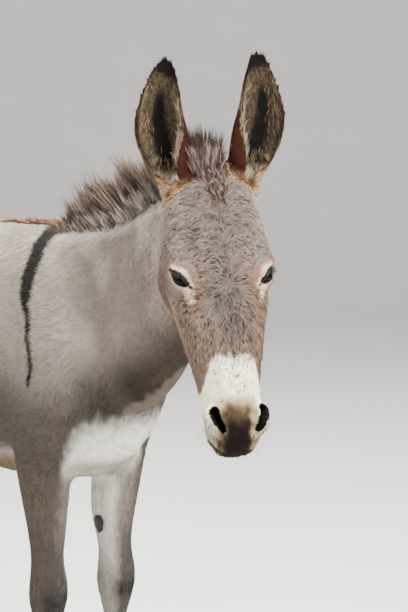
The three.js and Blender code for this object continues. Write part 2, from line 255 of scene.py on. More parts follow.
# down from the poll, back to the widest level, half width, out to the face, back to the underside
SKULL = [
    [-30, 60, 56, 42, 54], [0, 58, 76, 60, 76], [50, 54, 86, 66, 90], [110, 50, 96, 66, 100],
    [165, 48, 97, 62, 104], [215, 50, 87, 58, 100], [268, 52, 76, 56, 84], [325, 54, 64, 53, 64],
    [375, 56, 54, 51, 54], [420, 58, 50, 48, 50], [452, 61, 45, 43, 44], [472, 64, 35, 34, 36],
]
JAW = [
    [60, 136, 46, 50, 42], [90, 140, 62, 52, 60], [135, 141, 67, 58, 70], [185, 137, 64, 58, 68],
    [245, 124, 54, 50, 54], [315, 111, 43, 40, 38], [375, 103, 37, 31, 28], [422, 99, 35, 28, 26],
    [455, 95, 29, 22, 22],
]
SWELLINGS = [([72, 40, -158], [29, 33, 44]), ([52, 116, -150], [24, 78, 78]), ([37, 38, -424], [19, 25, 28])]
# up from the root, centre outward, half width, out to the front, back
EAR = [
    [-24, 0, 28, 24, 28], [20, 2, 34, 26, 30], [60, 12, 43, 22, 34], [100, 20, 48, 16, 34],
    [140, 23, 44, 12, 30], [180, 18, 35.5, 9, 22], [206, 13, 27, 6, 15], [222, 10, 21, 5, 11],
    [233, 7, 15, 4, 8], [239, 6, 8, 3, 4],
]
# Where the ear's two edges lie, as angles from the middle of its back: height, towards the midline, outward
EAR_EDGES = [
    [-24, 176, 176], [14, 176, 172], [24, 172, 152], [40, 166, 120], [60, 155, 104], [100, 131, 92],
    [130, 116, 88], [165, 97, 84], [200, 90, 82], [240, 88, 80],
]
EAR_WALL = 5.5
TAIL = [
    [0, 782, 952, 24, 24, 26], [0, 813, 918, 25, 28, 27], [0, 839, 865, 22, 24, 23],
    [0, 852, 790, 19, 20, 20], [0, 855, 700, 16, 17, 17], [0, 853, 610, 15, 15, 15],
    [0, 851, 540, 12, 12, 12],
]
MANE = [
    [0, 0, 1040, 12, 28, 20], [0, -60, 1048, 16, 84, 24], [-4, -130, 1066, 19, 112, 26],
    [-20, -230, 1100, 20, 122, 28], [-50, -330, 1136, 20, 118, 30], [-92, -430, 1162, 20, 112, 32],
    [-130, -505, 1172, 20, 108, 32], [-156, -552, 1172, 18, 92, 30],
]


def leg_rows(rows, line, side, stride):
    """The rows of a leg as stations. The whole leg slopes to where its hoof stands in the stride."""
    rows = np.array(rows, float)
    reach = stride * np.maximum(0, 1 - rows[:, 0] / STRIDE_HEIGHT)
    place = [side * (line[0] + rows[:, 1]), line[1] - rows[:, 2] - reach, rows[:, 0]]
    return np.column_stack([*place, rows[:, 3:]])


def ear_shell(side):
    """A leaf rolled into a cup: at each height an arc of an ellipse from one edge round the back to the
    other, with a wall laid inside it."""
    z = np.concatenate([np.linspace(-24, 200, 90), np.linspace(202, 239, 22)])
    table = np.array(EAR, float)
    share = np.interp(z, table[:, 0], np.linspace(0, 1, len(table)))
    _, out, half, front, back = catmull(table, share).T
    inner_edge, outer_edge = at_height(EAR_EDGES, z)
    s = np.linspace(0, 1, 70)
    angle = np.radians(-inner_edge[:, None] + s * (inner_edge + outer_edge)[:, None])
    wall = np.minimum(EAR_WALL, 0.55 * np.minimum(half, back))[:, None]
    skins = []
    for depth in (0, wall):
        deep = np.where(np.cos(angle) > 0, back[:, None], front[:, None]) - depth
        x = out[:, None] + (half[:, None] - depth) * np.sin(angle)
        skins.append(np.stack([side * x, deep * np.cos(angle), z[:, None] + 0 * x], -1))
    ring = np.concatenate([skins[0], skins[1][:, ::-1]], 1)
    n, m = ring.shape[1], len(s)
    quads = grid_quads(len(z), n)
    i = np.arange(m - 1)
    cap = np.stack([i, i + 1, n - 2 - i, n - 1 - i], -1)
    quads = np.concatenate([quads, cap, cap + (len(z) - 1) * n])
    root, axes = ear_frame(side)
    return ring.reshape(-1, 3) @ axes.T + root, quads


def placed_in_head(surface):
    return from_head(surface[0]), surface[1]


def head_loft(rows, **options):
    stations = [[0, back, -down, *size] for down, back, *size in rows]
    return placed_in_head(loft(stations, along=DOWN, above=FRONT, **options))


# ---------------------------------------------------------------- meshes in and out of Blender
def mesh_of(name, points, faces):
    """A mesh from points in metres and an array of faces with the same number of corners."""
    mesh = bpy.data.meshes.new(name)
    corners = faces.shape[1]
    mesh.vertices.add(len(points))
    mesh.vertices.foreach_set("co", np.ascontiguousarray(points, np.float32).ravel())
    mesh.loops.add(faces.size)
    mesh.loops.foreach_set("vertex_index", np.ascontiguousarray(faces, np.int32).ravel())
    mesh.polygons.add(len(faces))
    mesh.polygons.foreach_set("loop_start", np.arange(0, faces.size, corners, dtype=np.int32))
    mesh.update(calc_edges=True)
    mesh.polygons.foreach_set("use_smooth", np.ones(len(faces), bool))
    return mesh


def points_of(mesh):
    points = np.zeros(len(mesh.vertices) * 3, np.float32)
    mesh.vertices.foreach_get("co", points)
    return points.reshape(-1, 3).astype(float)


def fused(surfaces, voxel):
    """One mesh of the outside of several closed surfaces that run through each other, in voxels of that
    size."""
    points, quads, start = [], [], 0
    for p, q in surfaces:
        points.append(p)
        quads.append(q + start)
        start += len(p)
    mesh = mesh_of("fused", np.concatenate(points) / 1000, np.concatenate(quads))
    holder = bpy.data.objects.new("fused", mesh)
    bpy.context.scene.collection.objects.link(holder)
    remesh = holder.modifiers.new("voxels", "REMESH")
    remesh.mode, remesh.voxel_size = "VOXEL", voxel / 1000
    result = bpy.data.meshes.new_from_object(holder.evaluated_get(bpy.context.evaluated_depsgraph_get()))
    bpy.data.objects.remove(holder)
    return result


def bridged(body, head, point, normal):
    """The body up to a plane and the head from it on, sewn to each other across a narrow strip."""
    whole = bmesh.new()
    for mesh, way in ((body, -1), (head, 1)):
        part = bmesh.new()
        part.from_mesh(mesh)
        parts = part.verts[:] + part.edges[:] + part.faces[:]
        plane = Vector((np.array(point) + way * 3 * np.array(normal)) / 1000)
        bmesh.ops.bisect_plane(
            part, geom=parts, plane_co=plane, plane_no=Vector(normal) * way, clear_inner=True
        )
        kept = bpy.data.meshes.new("kept")
        part.to_mesh(kept)
        part.free()
        whole.from_mesh(kept)
    rims = [e for e in whole.edges if e.is_boundary]
    bmesh.ops.bridge_loops(whole, edges=rims)
    bmesh.ops.recalc_face_normals(whole, faces=whole.faces[:])
    bmesh.ops.triangulate(whole, faces=whole.faces[:])
    mesh = bpy.data.meshes.new("bridged")
    whole.to_mesh(mesh)
    whole.free()
    return mesh


def normals_of(points, triangles):
    """The mean direction of the faces round each point, weighed by their areas."""
    a, b, c = (points[triangles[:, k]] for k in range(3))
    face = np.cross(b - a, c - a)
    total = [sum(np.bincount(triangles[:, k], face[:, j], len(points)) for k in range(3)) for j in range(3)]
    return unit(np.stack(total, 1))


def relaxed(points, edges, times, share=0.5, back=-0.52, weight=1.0):
    """Moves each point towards the mean of its neighbours and then nearly as far back, so that it gets
    smoother and keeps its size. With back at 0 it also fills hollows."""
    a, b = edges.T
    n = len(points)
    count = np.bincount(edges.ravel(), minlength=n)[:, None]
    weight = np.broadcast_to(np.asarray(weight, float).reshape(-1, 1), (n, 1))
    for _ in range(times):
        for factor in (share, back) if back else (share,):
            total = [np.bincount(a, points[b, k], n) + np.bincount(b, points[a, k], n) for k in range(3)]
            points = points + factor * weight * (np.stack(total, 1) / count - points)
    return points


# ---------------------------------------------------------------- where on the body a point is
def where(points):
    """Shares from 0 to 1 of how far each point belongs to the head, an ear, the neck, a foreleg, a
    hindleg and the tail. What is left is trunk."""
    x, y, z = points.T
    h = in_head(points)
    ear = np.zeros(len(points))
    for _, side in SIDES:
        e = in_ear(points, side)
        out, half, front_reach, back_reach = at_height(EAR, e[:, 2])
        inside = np.hypot(
            (e[:, 0] - out) / (half + 6), e[:, 1] / (np.maximum(front_reach, back_reach) + 6)
        ) < 1.1
        ear = np.maximum(ear, np.where(inside, ramp(e[:, 2], 12, 30), 0))
    nape = -((h[:, 1] - 62) * 0.682 + (h[:, 2] - 18) * 0.731)
    head = ramp(nape, -8, 8) * ramp(h[:, 1], 228, 212) * (h[:, 2] > -560) * (1 - ear)
    neck = ramp((y + 60) * -0.885 + (z - 1060) * 0.465, -30, 30) * (1 - head) * (1 - ear)
    foreleg = ramp(z, 610, 540) * (y < 150)
    hindleg = ramp(z, 690, 590) * (y > 540)
    tail = (y > 818) & (z > 530) & (np.abs(x) < 45)
    return {
        "head": head,
        "ear": ear,
        "neck": neck,
        "foreleg": foreleg,
        "hindleg": hindleg * ~tail,
        "tail": tail * 1.0,
    }


# ---------------------------------------------------------------- the eyes' own frame
EYE_CENTRE = np.array([68.5, 19, -174])  # left eye, in the head's frame
EYE_RADIUS = 19.0
INNER_CORNER, OUTER_CORNER = np.array([-3.0, -15, -17]), np.array([25.5, 1, 17])
EYE_OUT = unit(unit(INNER_CORNER) + unit(OUTER_CORNER))
EYE_ALONG = unit(OUTER_CORNER - INNER_CORNER)
EYE_ALONG = unit(EYE_ALONG - (EYE_ALONG @ EYE_OUT) * EYE_OUT)
EYE_ABOVE = np.cross(EYE_OUT, EYE_ALONG)
SLIT = 21.5  # half the length of the opening


def in_eye(h):
    """Points of the head in the eye's frame: along the slit to its outer corner, up over the lid, and
    out."""
    q = h * np.where(h[:, :1] < 0, [-1, 1, 1], [1, 1, 1]) - EYE_CENTRE
    return np.stack([q @ EYE_ALONG, q @ EYE_ABOVE, q @ EYE_OUT], 1)


def lid_edges(along):
    """How far above and below the slit's line the two lids' edges run, at a distance along it."""
    share = np.clip(along / SLIT, -1, 1)
    upper = 6.8 * np.clip(1 - share**2, 0, 1) ** 0.8 + 1.0 * share
    lower = -8.6 * np.clip(1 - share**2, 0, 1) ** 0.8 + 1.0 * share
    return upper, lower


def to_corners(e):
    """The distance from the dark line that runs through the slit and on past both corners of the eye."""
    return np.hypot(np.maximum(np.abs(e[:, 0]) - 27, 0), e[:, 1] - np.clip(e[:, 0], -24, 24) * 0.05)


def outside_lids(e):
    """The distance from the opening between the lids, negative inside it."""
    upper, lower = lid_edges(e[:, 0])
    past = np.maximum(np.abs(e[:, 0]) - SLIT, 0)
    over = np.maximum(e[:, 1] - upper, lower - e[:, 1])
    return np.where(past > 0, np.hypot(past, np.maximum(over, 0)), over)


NOSTRIL = [[39, 20, -413], [37.5, 17, -423], [33.5, 16, -434], [28, 18, -446]]
NOSTRIL_WAY = unit(np.array([-0.35, 1, 0.25]))
LEFT_NOSTRIL_OUT = 8  # the left nostril lies that much further out
MOUTH = [[0, 68, -486], [16, 63, -483], [29, 56, -474], [38, 62, -460], [43, 76, -444], [43, 88, -432]]


def to_nostril(h):
    """The distance from the middle line of the nostril, seen down its own depth, in shares of its half
    width, which narrows downwards."""
    right = h[:, :1] < 0
    m = h * np.where(right, [-1, 1, 1], [1, 1, 1]) - np.where(right, [0, 0, 0], [LEFT_NOSTRIL_OUT, 0, 0])
    line = np.array(NOSTRIL, float)
    depth = (m - line[1]) @ NOSTRIL_WAY
    flat_points, flat_line = (k - (k @ NOSTRIL_WAY)[:, None] * NOSTRIL_WAY for k in (m, line))
    d, t = to_line(flat_points, flat_line)
    return d / (6.0 - 2.8 * t) + 9 * ((depth < -16) | (depth > 40)), t


def to_mouth(h):
    return to_line(np.abs(h) * [1, 1, -1], MOUTH)


# The folds of skin round the foot of each ear, in the head's frame
FOLDS = [
    [[31, 22, 27], [40, 16, 15], [51, 15, 5], [64, 16, -2], [79, 24, -7]],
    [[38, 18, 34], [49, 15, 21], [62, 14, 9], [76, 18, 3]],
    [[-34, 17, 20], [-45, 12, 7], [-59, 13, -3], [-74, 19, -10], [-84, 30, -19]],
    [[-31, 24, 34], [-44, 13, 17], [-60, 12, 4], [-76, 16, -3]],
]


def to_folds(h):
    return np.min([to_line(h, fold)[0] for fold in FOLDS], axis=0)


# ---------------------------------------------------------------- the skin's shape
# Swellings and hollows of the head, alike on both sides: how high, their centre and their radii
HEAD_HUMPS = [
    (-6.0, [64, 8, -118], [14, 20, 20]),  # the hollow above the eye
    (5.0, [86, 20, -142], [14, 16, 12]),  # the brow
    (2.5, [0, -12, -150], [40, 30, 60]),  # the forehead
    (-2.2, [0, -4, -268], [20, 30, 34]),  # the dip in the middle of the face
    (-3.2, [40, 22, -372], [12, 18, 22]),  # above the nostril
    (-2.0, [0, 12, -412], [12, 20, 18]),  # between the nostrils
    (2.5, [0, 112, -458], [26, 18, 20]),  # the chin
    (-1.6, [0, 20, -458], [5, 18, 14]),  # the groove of the upper lip
]
CHEEK_CREST = [[78, 46, -212], [66, 50, -262], [58, 50, -312]]
# Ridges and grooves of the head: how high, how wide, and the line that each follows
HEAD_RIDGES = [
    (5.0, 7, CHEEK_CREST),
    (2.6, 8, [[28, 2, -250], [24, 4, -320], [20, 8, -380]]),  # the nasal bone
    (1.8, 3.4, [[60, 10, -215], [57, 26, -262], [50, 34, -318]]),  # the vein below the eye
]
LEFT_WING = (8.0, [50, 40, -428], [16, 22, 24])  # the wing of the left nostril
# The same for the trunk and the neck
BODY_HUMPS = [
    (6.0, [150, -118, 740], [40, 34, 40]),  # the point of the shoulder
    (-5.0, [0, -215, 700], [9, 60, 60]),  # the middle of the breast
    (-7.0, [165, 500, 860], [50, 46, 60]),  # the flank
    (7.0, [120, 560, 1010], [36, 40, 30]),  # the point of the hip
    (5.0, [90, 800, 905], [30, 30, 34]),  # the seat bone
    (6.0, [150, 600, 700], [34, 40, 60]),  # the stifle
]
BODY_RIDGES = [
    (5.0, 26, [[70, 40, 1010], [135, -10, 880], [150, -95, 745]]),  # the shoulder blade
    (-5.5, 26, [[130, 95, 960], [165, 75, 820], [150, 50, 690]]),  # behind the shoulder
    (-7.0, 18, [[60, -215, 700], [80, -190, 640], [70, -150, 590]]),  # between the breast and the leg
    (-4.0, 16, [[130, 790, 860], [130, 800, 740], [110, 790, 640]]),  # between the muscles of the thigh
]
THROAT_GROOVE = [[60, -470, 960], [62, -360, 880], [66, -250, 800], [60, -170, 740]]
# The same for the legs, from the line of the leg: the inner side is -x and the back is +y
LEG_HUMPS = {
    "fore": [
        (2.5, [0, -36, 345], [26, 14, 22]),  # the knee
        (2.0, [0, 40, 352], [14, 14, 18]),  # the bone behind the knee
        (-2.6, [22, 14, 230], [10, 6, 60]),  # before the tendon, outside
        (-2.6, [-22, 14, 230], [10, 6, 60]),  # and inside
        (-3.0, [40, 10, 470], [20, 7, 60]),  # between the muscles of the forearm
        (2.0, [40, -14, 520], [20, 16, 60]),  # the muscle in front of that
        (8.0, [-24, 36, 460], [20, 20, 46]),  # where the chestnut sits
        (1.5, [0, 40, 150], [22, 12, 16]),  # the fetlock
    ],
    "hind": [
        (4.0, [0, 78, 462], [14, 16, 24]),  # the point of the hock
        (-6.0, [30, 40, 520], [16, 12, 40]),  # before the hock's tendon, outside
        (-6.0, [-30, 40, 520], [16, 12, 40]),  # and inside
        (-2.6, [22, 36, 250], [10, 6, 70]),  # before the shank's tendon, outside
        (-2.6, [-22, 36, 250], [10, 6, 70]),  # and inside
        (1.5, [0, 40, 150], [22, 12, 16]),  # the fetlock
    ],
}


def mirrored(points):
    """The points with those of the right side laid over on the left."""
    return np.abs(points) * [1, 0, 0] + points * [0, 1, 1]


def bell(distance, width):
    """1 at no distance, falling off like a bell with that half width."""
    return np.exp(-((distance / width) ** 2))


def lift_of(points, humps, ridges=()):
    """How far the surface is raised at each point by bells about centres and by ridges along lines."""
    lift = np.zeros(len(points))
    for height, centre, radii in humps:
        lift += height * hump(points, centre, radii)
    for height, width, line in ridges:
        lift += height * bell(to_line(points, line)[0], width)
    return lift


def like_side(vector, side):
    """A vector of the left side of the head, turned for points on either side."""
    return vector * np.stack([side, 1 + 0 * side, 1 + 0 * side], 1)


def sculpted_face(points, normals):
    """Raises and hollows the head: crests, brows, chin and the folds at the ears."""
    h = in_head(points)
    m = mirrored(h)
    lift = lift_of(m, HEAD_HUMPS, HEAD_RIDGES)
    lift -= 2.6 * bell(to_line(m, CHEEK_CREST)[0] - 17, 9)
    lift += LEFT_WING[0] * hump(h, *LEFT_WING[1:])
    lift -= 2.6 * bell(to_folds(h), 3.2)
    return points + normals * lift[:, None]


def sculpted_lids(h):
    """Points near the eye move along their own line from its centre onto the lids, which lie on a ball
    just larger than the eye, with a rim at the opening and a crease above and below. Inside the opening
    they go in."""
    e = in_eye(h)
    r = np.maximum(np.linalg.norm(e, axis=1), 1e-6)
    facing = e[:, 2] / r
    gap = outside_lids(e)
    lid = EYE_RADIUS + 2.6 + 0.9 * bell(gap - 3, 2.6)
    lid -= 1.3 * bell(e[:, 1] - 15.5, 2.0) * (np.abs(e[:, 0]) < 24)
    lid -= 0.9 * bell(e[:, 1] + 14, 1.8) * (np.abs(e[:, 0]) < 20)
    hold = ramp(facing, 0.30, 0.62) * (r < 40)
    blend = ramp(facing, 0.45, 0.75)
    target = np.where(gap < 0.4, EYE_RADIUS - 4, np.maximum(lid, r * (1 - blend) + lid * blend))
    delta = e * (hold * (target / r - 1))[:, None]
    step = delta[:, :1] * EYE_ALONG + delta[:, 1:2] * EYE_ABOVE + delta[:, 2:] * EYE_OUT
    return h + like_side(step, np.sign(h[:, 0]))


def sculpted_muzzle(h, n):
    """Sinks the nostrils along their own depth, raises their rims and presses in the line of the mouth."""
    hole, _ = to_nostril(h)
    deep = 22 * ramp(hole, 1.35, 0.45)
    rim = 3.2 * bell(hole - 2.1, 0.5) * np.where(np.abs(h[:, 0]) > 33, 1.0, 0.5)
    h = h + like_side(NOSTRIL_WAY, np.sign(h[:, 0])) * deep[:, None] + n * rim[:, None]
    slit, _ = to_mouth(h)
    return h - n * (5.0 * bell(slit, 2.4) - 1.4 * bell(slit - 7, 3.5))[:, None]


def sculpted_head(points, normals):
    """The head with its bones, folds, lids, nostrils and mouth. The rest of the body stays as it is."""
    h = in_head(points)
    near = ((h[:, 2] < 70) & (h[:, 1] < 230))[:, None]
    points = np.where(near, sculpted_face(points, normals), points)
    h = sculpted_muzzle(sculpted_lids(in_head(points)), normals @ HEAD_AXES)
    return np.where(near, from_head(h), points)


def sculpted_body(points, normals):
    """Raises and hollows the trunk, neck and legs: bones, muscles, tendons and folds."""
    x, y, z = points.T
    m = mirrored(points)
    w = where(points)
    lift = lift_of(m, BODY_HUMPS, BODY_RIDGES)
    ribs = np.sin(2 * np.pi * (y + 0.35 * (z - 780)) / 42)
    lift += 1.1 * ribs * hump(m, [185, 290, 760], [60, 130, 110])
    lift -= 4.5 * bell(to_line(m, THROAT_GROOVE)[0], 16) * w["neck"]
    lift += 2.6 * neck_wrinkles(points)
    for kind, line in (("fore", FORELEG_LINE), ("hind", HINDLEG_LINE)):
        slope = np.where(x > 0, STRIDE[kind, 1], STRIDE[kind, -1]) * np.maximum(0, 1 - z / STRIDE_HEIGHT)
        from_line = m - [line[0], line[1], 0] + slope[:, None] * [0, 1, 0]
        lift += w[kind + "leg"] * lift_of(from_line, LEG_HUMPS[kind])
    return points + normals * (lift * (1 - w["head"]) * (1 - w["ear"]))[:, None]


def neck_wrinkles(points):
    """Waves of skin across the neck behind the jaw, one after another away from the head, that fade out."""
    h = in_head(points)
    wave = np.sin(2 * np.pi * (h[:, 1] + 7 * np.sin(h[:, 2] / 55) + 5 * speckle(points, 70, 51)) / 17)
    fade = (
        ramp(h[:, 1], 345, 215) * ramp(h[:, 1], 150, 185) * ramp(h[:, 2], 70, 20)
        * ramp(h[:, 2], -330, -260)
    )
    return 0.7 * wave * fade * where(points)["neck"]


def coat_depth(points):
    """How far the skin lies inside the coat's tips."""
    w = where(points)
    h = in_head(points)
    depth = 5.0 + 0 * h[:, 0]
    for name in ("foreleg", "hindleg", "tail"):
        depth = depth + w[name] * (3.0 - depth)
    face = 2.6 - 1.2 * ramp(h[:, 2], -330, -400)
    depth = depth + w["head"] * (face - depth)
    return depth * (1 - w["ear"]) + 0.6 * w["ear"]


BODY_VOXEL, HEAD_VOXEL = 8.6, 3.45
NECK_CUT, NECK_WAY = [-38, -320, 977], [-0.29, -0.835, 0.468]


def rough_body(neck):
    """Trunk, neck, dock and legs fused into one."""
    legs = []
    for _, side in SIDES:
        for kind, rows, line in (("fore", FORELEG, FORELEG_LINE), ("hind", HINDLEG, HINDLEG_LINE)):
            stations = leg_rows(rows, line, side, STRIDE[kind, side])
            legs.append(loft(stations, along=DOWN, above=FRONT, around=48, rings=120, caps=(30, 0)))
    trunk = loft([[0, y, z, *size] for y, z, *size in TRUNK], along=BACK, above=UP, caps=(12, 16))
    dock = loft(TAIL, along=DOWN, above=FRONT, around=32, power=2, caps=(16, 6))
    return fused([trunk, neck, dock, *legs], BODY_VOXEL)


def rough_head(neck):
    """Skull, jaw, neck, the swellings of the face and the ears fused into one."""
    swellings = []
    for _, side in SIDES:
        for (cx, cy, cz), radii in SWELLINGS:
            swellings.append(placed_in_head(ellipsoid([side * cx, cy, cz], radii)))
        root, axes = ear_frame(side)
        plug = ellipsoid([side * 2, 0, -4], [29, 24, 20])
        swellings += [(plug[0] @ axes.T + root, plug[1]), ear_shell(side)]
    skull = head_loft(SKULL, caps=(24, 12), power=2.25)
    jaw = head_loft(JAW, caps=(20, 10))
    return fused([skull, jaw, neck, *swellings], HEAD_VOXEL)


def read_corners(items, values_each, key):
    """Whole numbers that a mesh keeps for its edges or loops, a row for each two or three."""
    numbers = np.zeros(len(items) * (2 if key == "vertices" else 1), np.int32)
    items.foreach_get(key, numbers)
    return numbers.reshape(-1, values_each)


def filled_creases(points, edges, triangles):
    """Fills the creases where one part runs into the next: points in a hollow move to the mean of their
    neighbours, and the others stay."""
    long = np.linalg.norm(points[edges[:, 0]] - points[edges[:, 1]], axis=1)
    spacing = np.bincount(edges.ravel(), np.repeat(long, 2), len(points))
    spacing /= np.bincount(edges.ravel(), minlength=len(points))
    w = where(points)
    for _ in range(5):
        normals = normals_of(points, triangles)
        smooth = relaxed(points, edges, 1, 1.0, 0)
        hollow = ((smooth - points) * normals).sum(1) / spacing
        weight = ramp(hollow, 0.02, 0.12) * (1 - w["ear"])
        weight = relaxed(weight[:, None] * [1, 1, 1], edges, 3, 0.6, 0)[:, 0]
        points = relaxed(points, edges, 8, 0.6, 0, np.minimum(1, 1.6 * weight))
    return points


def build_skin():
    """The skin's points, triangles and normals, and which points line the nostrils."""
    neck = loft(NECK, caps=(10, 20))
    mesh = bridged(rough_body(neck), rough_head(neck), NECK_CUT, NECK_WAY)
    edges = read_corners(mesh.edges, 2, "vertices")
    triangles = read_corners(mesh.loops, 3, "vertex_index")
    points = filled_creases(relaxed(points_of(mesh) * 1000, edges, 10), edges, triangles)
    seam = bell((points - NECK_CUT) @ NECK_WAY, 14) * (points[:, 1] < -150) * (points[:, 2] > 700)
    points = relaxed(points, edges, 20, 0.5, 0, seam)
    points = sculpted_body(points, normals_of(points, triangles))
    lining = to_nostril(in_head(points))[0] < 1.15
    lining[edges[lining[edges].any(1)].ravel()] = True  # and the ring of points round them
    points = sculpted_head(points, normals_of(points, triangles))
    h = in_head(points)
    fine_parts = (np.linalg.norm(in_eye(h), axis=1) < 30) | (to_nostril(h)[0] < 2)
    depth = coat_depth(points) * np.where(fine_parts, 0.35, 1)
    points = points - normals_of(points, triangles) * depth[:, None]
    points = relaxed(points, edges, 2, weight=np.where(fine_parts, 0.4, 1))
    return points, triangles, normals_of(points, triangles), lining


# ---------------------------------------------------------------- markings, shared by the skin and the coat
TAUPE = tone(142, 133, 122)
NECK_PALE = tone(132, 121, 109)
FACE_GREY = tone(98, 88, 81)
CREAM = tone(252, 241, 214)
WHITE = tone(207, 204, 194)
NOSE_BROWN = tone(19, 11, 4)
TAN = tone(108, 80, 44)
EYE_TAN = tone(130, 99, 76)
CHESTNUT_RED = tone(40, 13, 4)
FOLD_RED = tone(66, 27, 12)
BLACK_BROWN = tone(12, 8, 7)
STRIPE_BLACK = tone(7, 7, 9)
# brown of the throat and breast, deepened with painted shade
THROAT_BROWN_AND_SHADE = tone(32, 25, 18)
# painted shade for the lower body
LOWER_BODY_PAINTED_SHADE = tone(50, 43, 36)
KNEE_GREY = tone(54, 50, 48)
SHOULDER_STRIPE = [
    [20, 20, 1050], [39, 12, 1043], [69, 8, 1019], [93, 1, 988], [106, 1, 963], [119, -4, 934],
    [123, -6, 915], [126, -15, 896], [138, -32, 869], [147, -41, 841], [154, -55, 814], [158, -66, 785],
    [161, -57, 759],
]
STRIPE_HALF_WIDTHS = [20, 18, 17, 16, 15, 15, 12, 8.5, 7, 6.5, 6, 7, 7.5]  # at the same places
TAWNY_LINE = [[-80, -262, 742], [-62, -300, 770], [-58, -345, 800]]
EYE_RED_LINE = [[50, 0, -158], [45, -2, -176], [45, -2, -200], [51, 3, -222], [62, 13, -238]]
TEAR_LINE = [[68, 6, -194], [68, 8, -206], [64, 9, -219]]
# Broad tints of the face, one of them painted shade: paint, share, whether both sides have it, centre and
# radii in the head's frame
FACE_TINTS = [
    (tone(62, 52, 44), 0.62, True, [0, -10, -262], [26, 60, 62]),  # dark down the middle of the face
    # painted shade down the left side of the face
    (tone(70, 56, 46), 0.6, False, [58, 24, -282], [26, 60, 80]),  # and down its left side
]
FOREHEAD_TINTS = [
    (tone(134, 119, 108), 0.4, True, [46, 0, -140], [20, 40, 36]),  # pale above the eyes
    (tone(80, 71, 65), 0.55, False, [0, 0, -105], [62, 60, 52]),  # darker in the middle of the forehead
]
CHEEK_TINTS = [
    (tone(124, 99, 80), 0.5, True, [58, 40, -290], [20, 60, 60]),  # the side of the face
    (tone(168, 136, 98), 0.7, True, [78, 74, -200], [10, 16, 70]),  # the edge of the cheek
    (tone(168, 138, 104), 0.8, True, [86, 26, -2], [16, 22, 26]),  # outside the foot of the ear
    (tone(96, 62, 38), 0.8, True, [56, 14, 12], [22, 20, 10]),  # in front of it
    (tone(74, 60, 50), 0.7, True, [0, 4, -34], [15, 30, 40]),  # under the forelock
]
EAR_FOOT_TINTS = [
    (FOLD_RED, 0.85, False, [52, 20, 16], [9, 14, 11]),
    (FOLD_RED, 0.85, False, [-50, 20, 12], [8, 14, 10]),
]
# Small dark specks on the pale nose, across and up in the head's frame: most near its top and its middle line
SPECKS = np.random.default_rng(29).normal([0, -352], [15, 24], (90, 2)).clip([-34, -398], [34, -322])


def speckle(points, size, seed):
    """Smooth random values from -1 to 1 that change over about the given size: a sum of turned sine
    waves."""
    source = np.random.default_rng(seed)
    total = np.zeros(len(points))
    for _ in range(9):
        way = unit(source.normal(size=3)) * (2 * np.pi / size) * source.uniform(0.6, 1.5)
        total += np.sin(points @ way + source.uniform(0, 6.28) + 1.3 * np.sin(points @ way[[1, 2, 0]] * 0.7))
    return total / 4.2


class Painted:
    """Points of the coat in the body's and the head's frame, and their colours, laid one over another."""

    def __init__(self, points, normals):
        self.points, self.normals = points, normals
        self.x, self.y, self.z = points.T
        self.h = in_head(points)
        self.hm = mirrored(self.h)
        self.w = where(points)
        self.fine = speckle(points, 28, 4)
        self.colour = np.tile(TAUPE, (len(points), 1))

    def lay(self, paint, mask):
        """Covers the colour with a paint as far as the mask says, from 0 to 1."""
        self.colour = self.colour + np.clip(mask, 0, 1)[:, None] * (paint - self.colour)

    def tint_head(self, tints):
        for paint, share, both, centre, radii in tints:
            self.lay(paint, self.w["head"] * share * hump(self.hm if both else self.h, centre, radii))


def paint_trunk(coat):
    """Broad light and dark patches; the shoulders darken downwards with painted shade; painted shade in the
    hollows of the neck's wrinkles and on the right side of the breast; brown under the neck, deepened with
    painted shade; white breast and belly."""
    lay, w, h, fine = coat.lay, coat.w, coat.h, coat.fine
    x, y, z = coat.x, coat.y, coat.z
    broad = speckle(coat.points, 160, 3)
    lay(NECK_PALE, w["neck"] * ramp(z, 780, 900) * 0.8)
    lay(tone(100, 91, 81), w["neck"] * ramp(h[:, 1], 200, 290) * 0.7)
    # painted shade in the hollows of the neck's wrinkles
    lay(tone(98, 87, 76), ramp(-neck_wrinkles(coat.points), 0.1, 0.7) * 0.35)
    lay(tone(134, 121, 106), ramp(broad, 0.1, 1.0) * 0.5)
    lay(tone(160, 147, 132), ramp(-broad, 0.2, 1.0) * 0.5)
    # painted shade: the body darkens downwards towards its underside
    lay(LOWER_BODY_PAINTED_SHADE, ramp(z - 0.12 * y, 865, 690) * 0.9 * ramp(y, 640, 300))
    # brown under the neck, deepened with painted shade
    lay(THROAT_BROWN_AND_SHADE, w["neck"] * ramp(z + 0.62 * y, 720, 590) * 0.9)
    body = 1 - w["head"]
    # brown on the breast, deepened with painted shade
    lay(THROAT_BROWN_AND_SHADE, ramp(z, 860, 740) * ramp(y, -60, -190) * ramp(np.abs(x), 165, 90) * 0.8 * body)
    # painted shade on the right side of the lower breast
    lay(
        tone(90, 80, 71),
        ramp(x + 4 * fine, -46, -34) * ramp(z, 820, 795) * ramp(y, -170, -200) * body * 0.85,
    )
    lay(tone(74, 57, 40), bell(to_line(coat.points, TAWNY_LINE)[0], 11) * 0.5)
    chest = ramp(z + 6 * fine, 706, 650) * ramp(y, 40, -60) * body
    lay(WHITE, chest * ramp(np.abs(x) + 5 * fine, 116, 84))
    belly = ramp(-coat.normals[:, 2], 0.45, 0.8) * (z < 700) * (y > -60)
    lay(WHITE, belly * (1 - w["foreleg"]) * (1 - w["hindleg"]) * 0.95)
    lay(TAN, bell(z - 585, 14) * (y < -40) * (np.abs(x) < 90) * 0.55)
    lay(TAN, ramp(z, 606, 574) * (y > 20) * (y < 560) * 0.9 * ramp(np.abs(x), 150, 90))


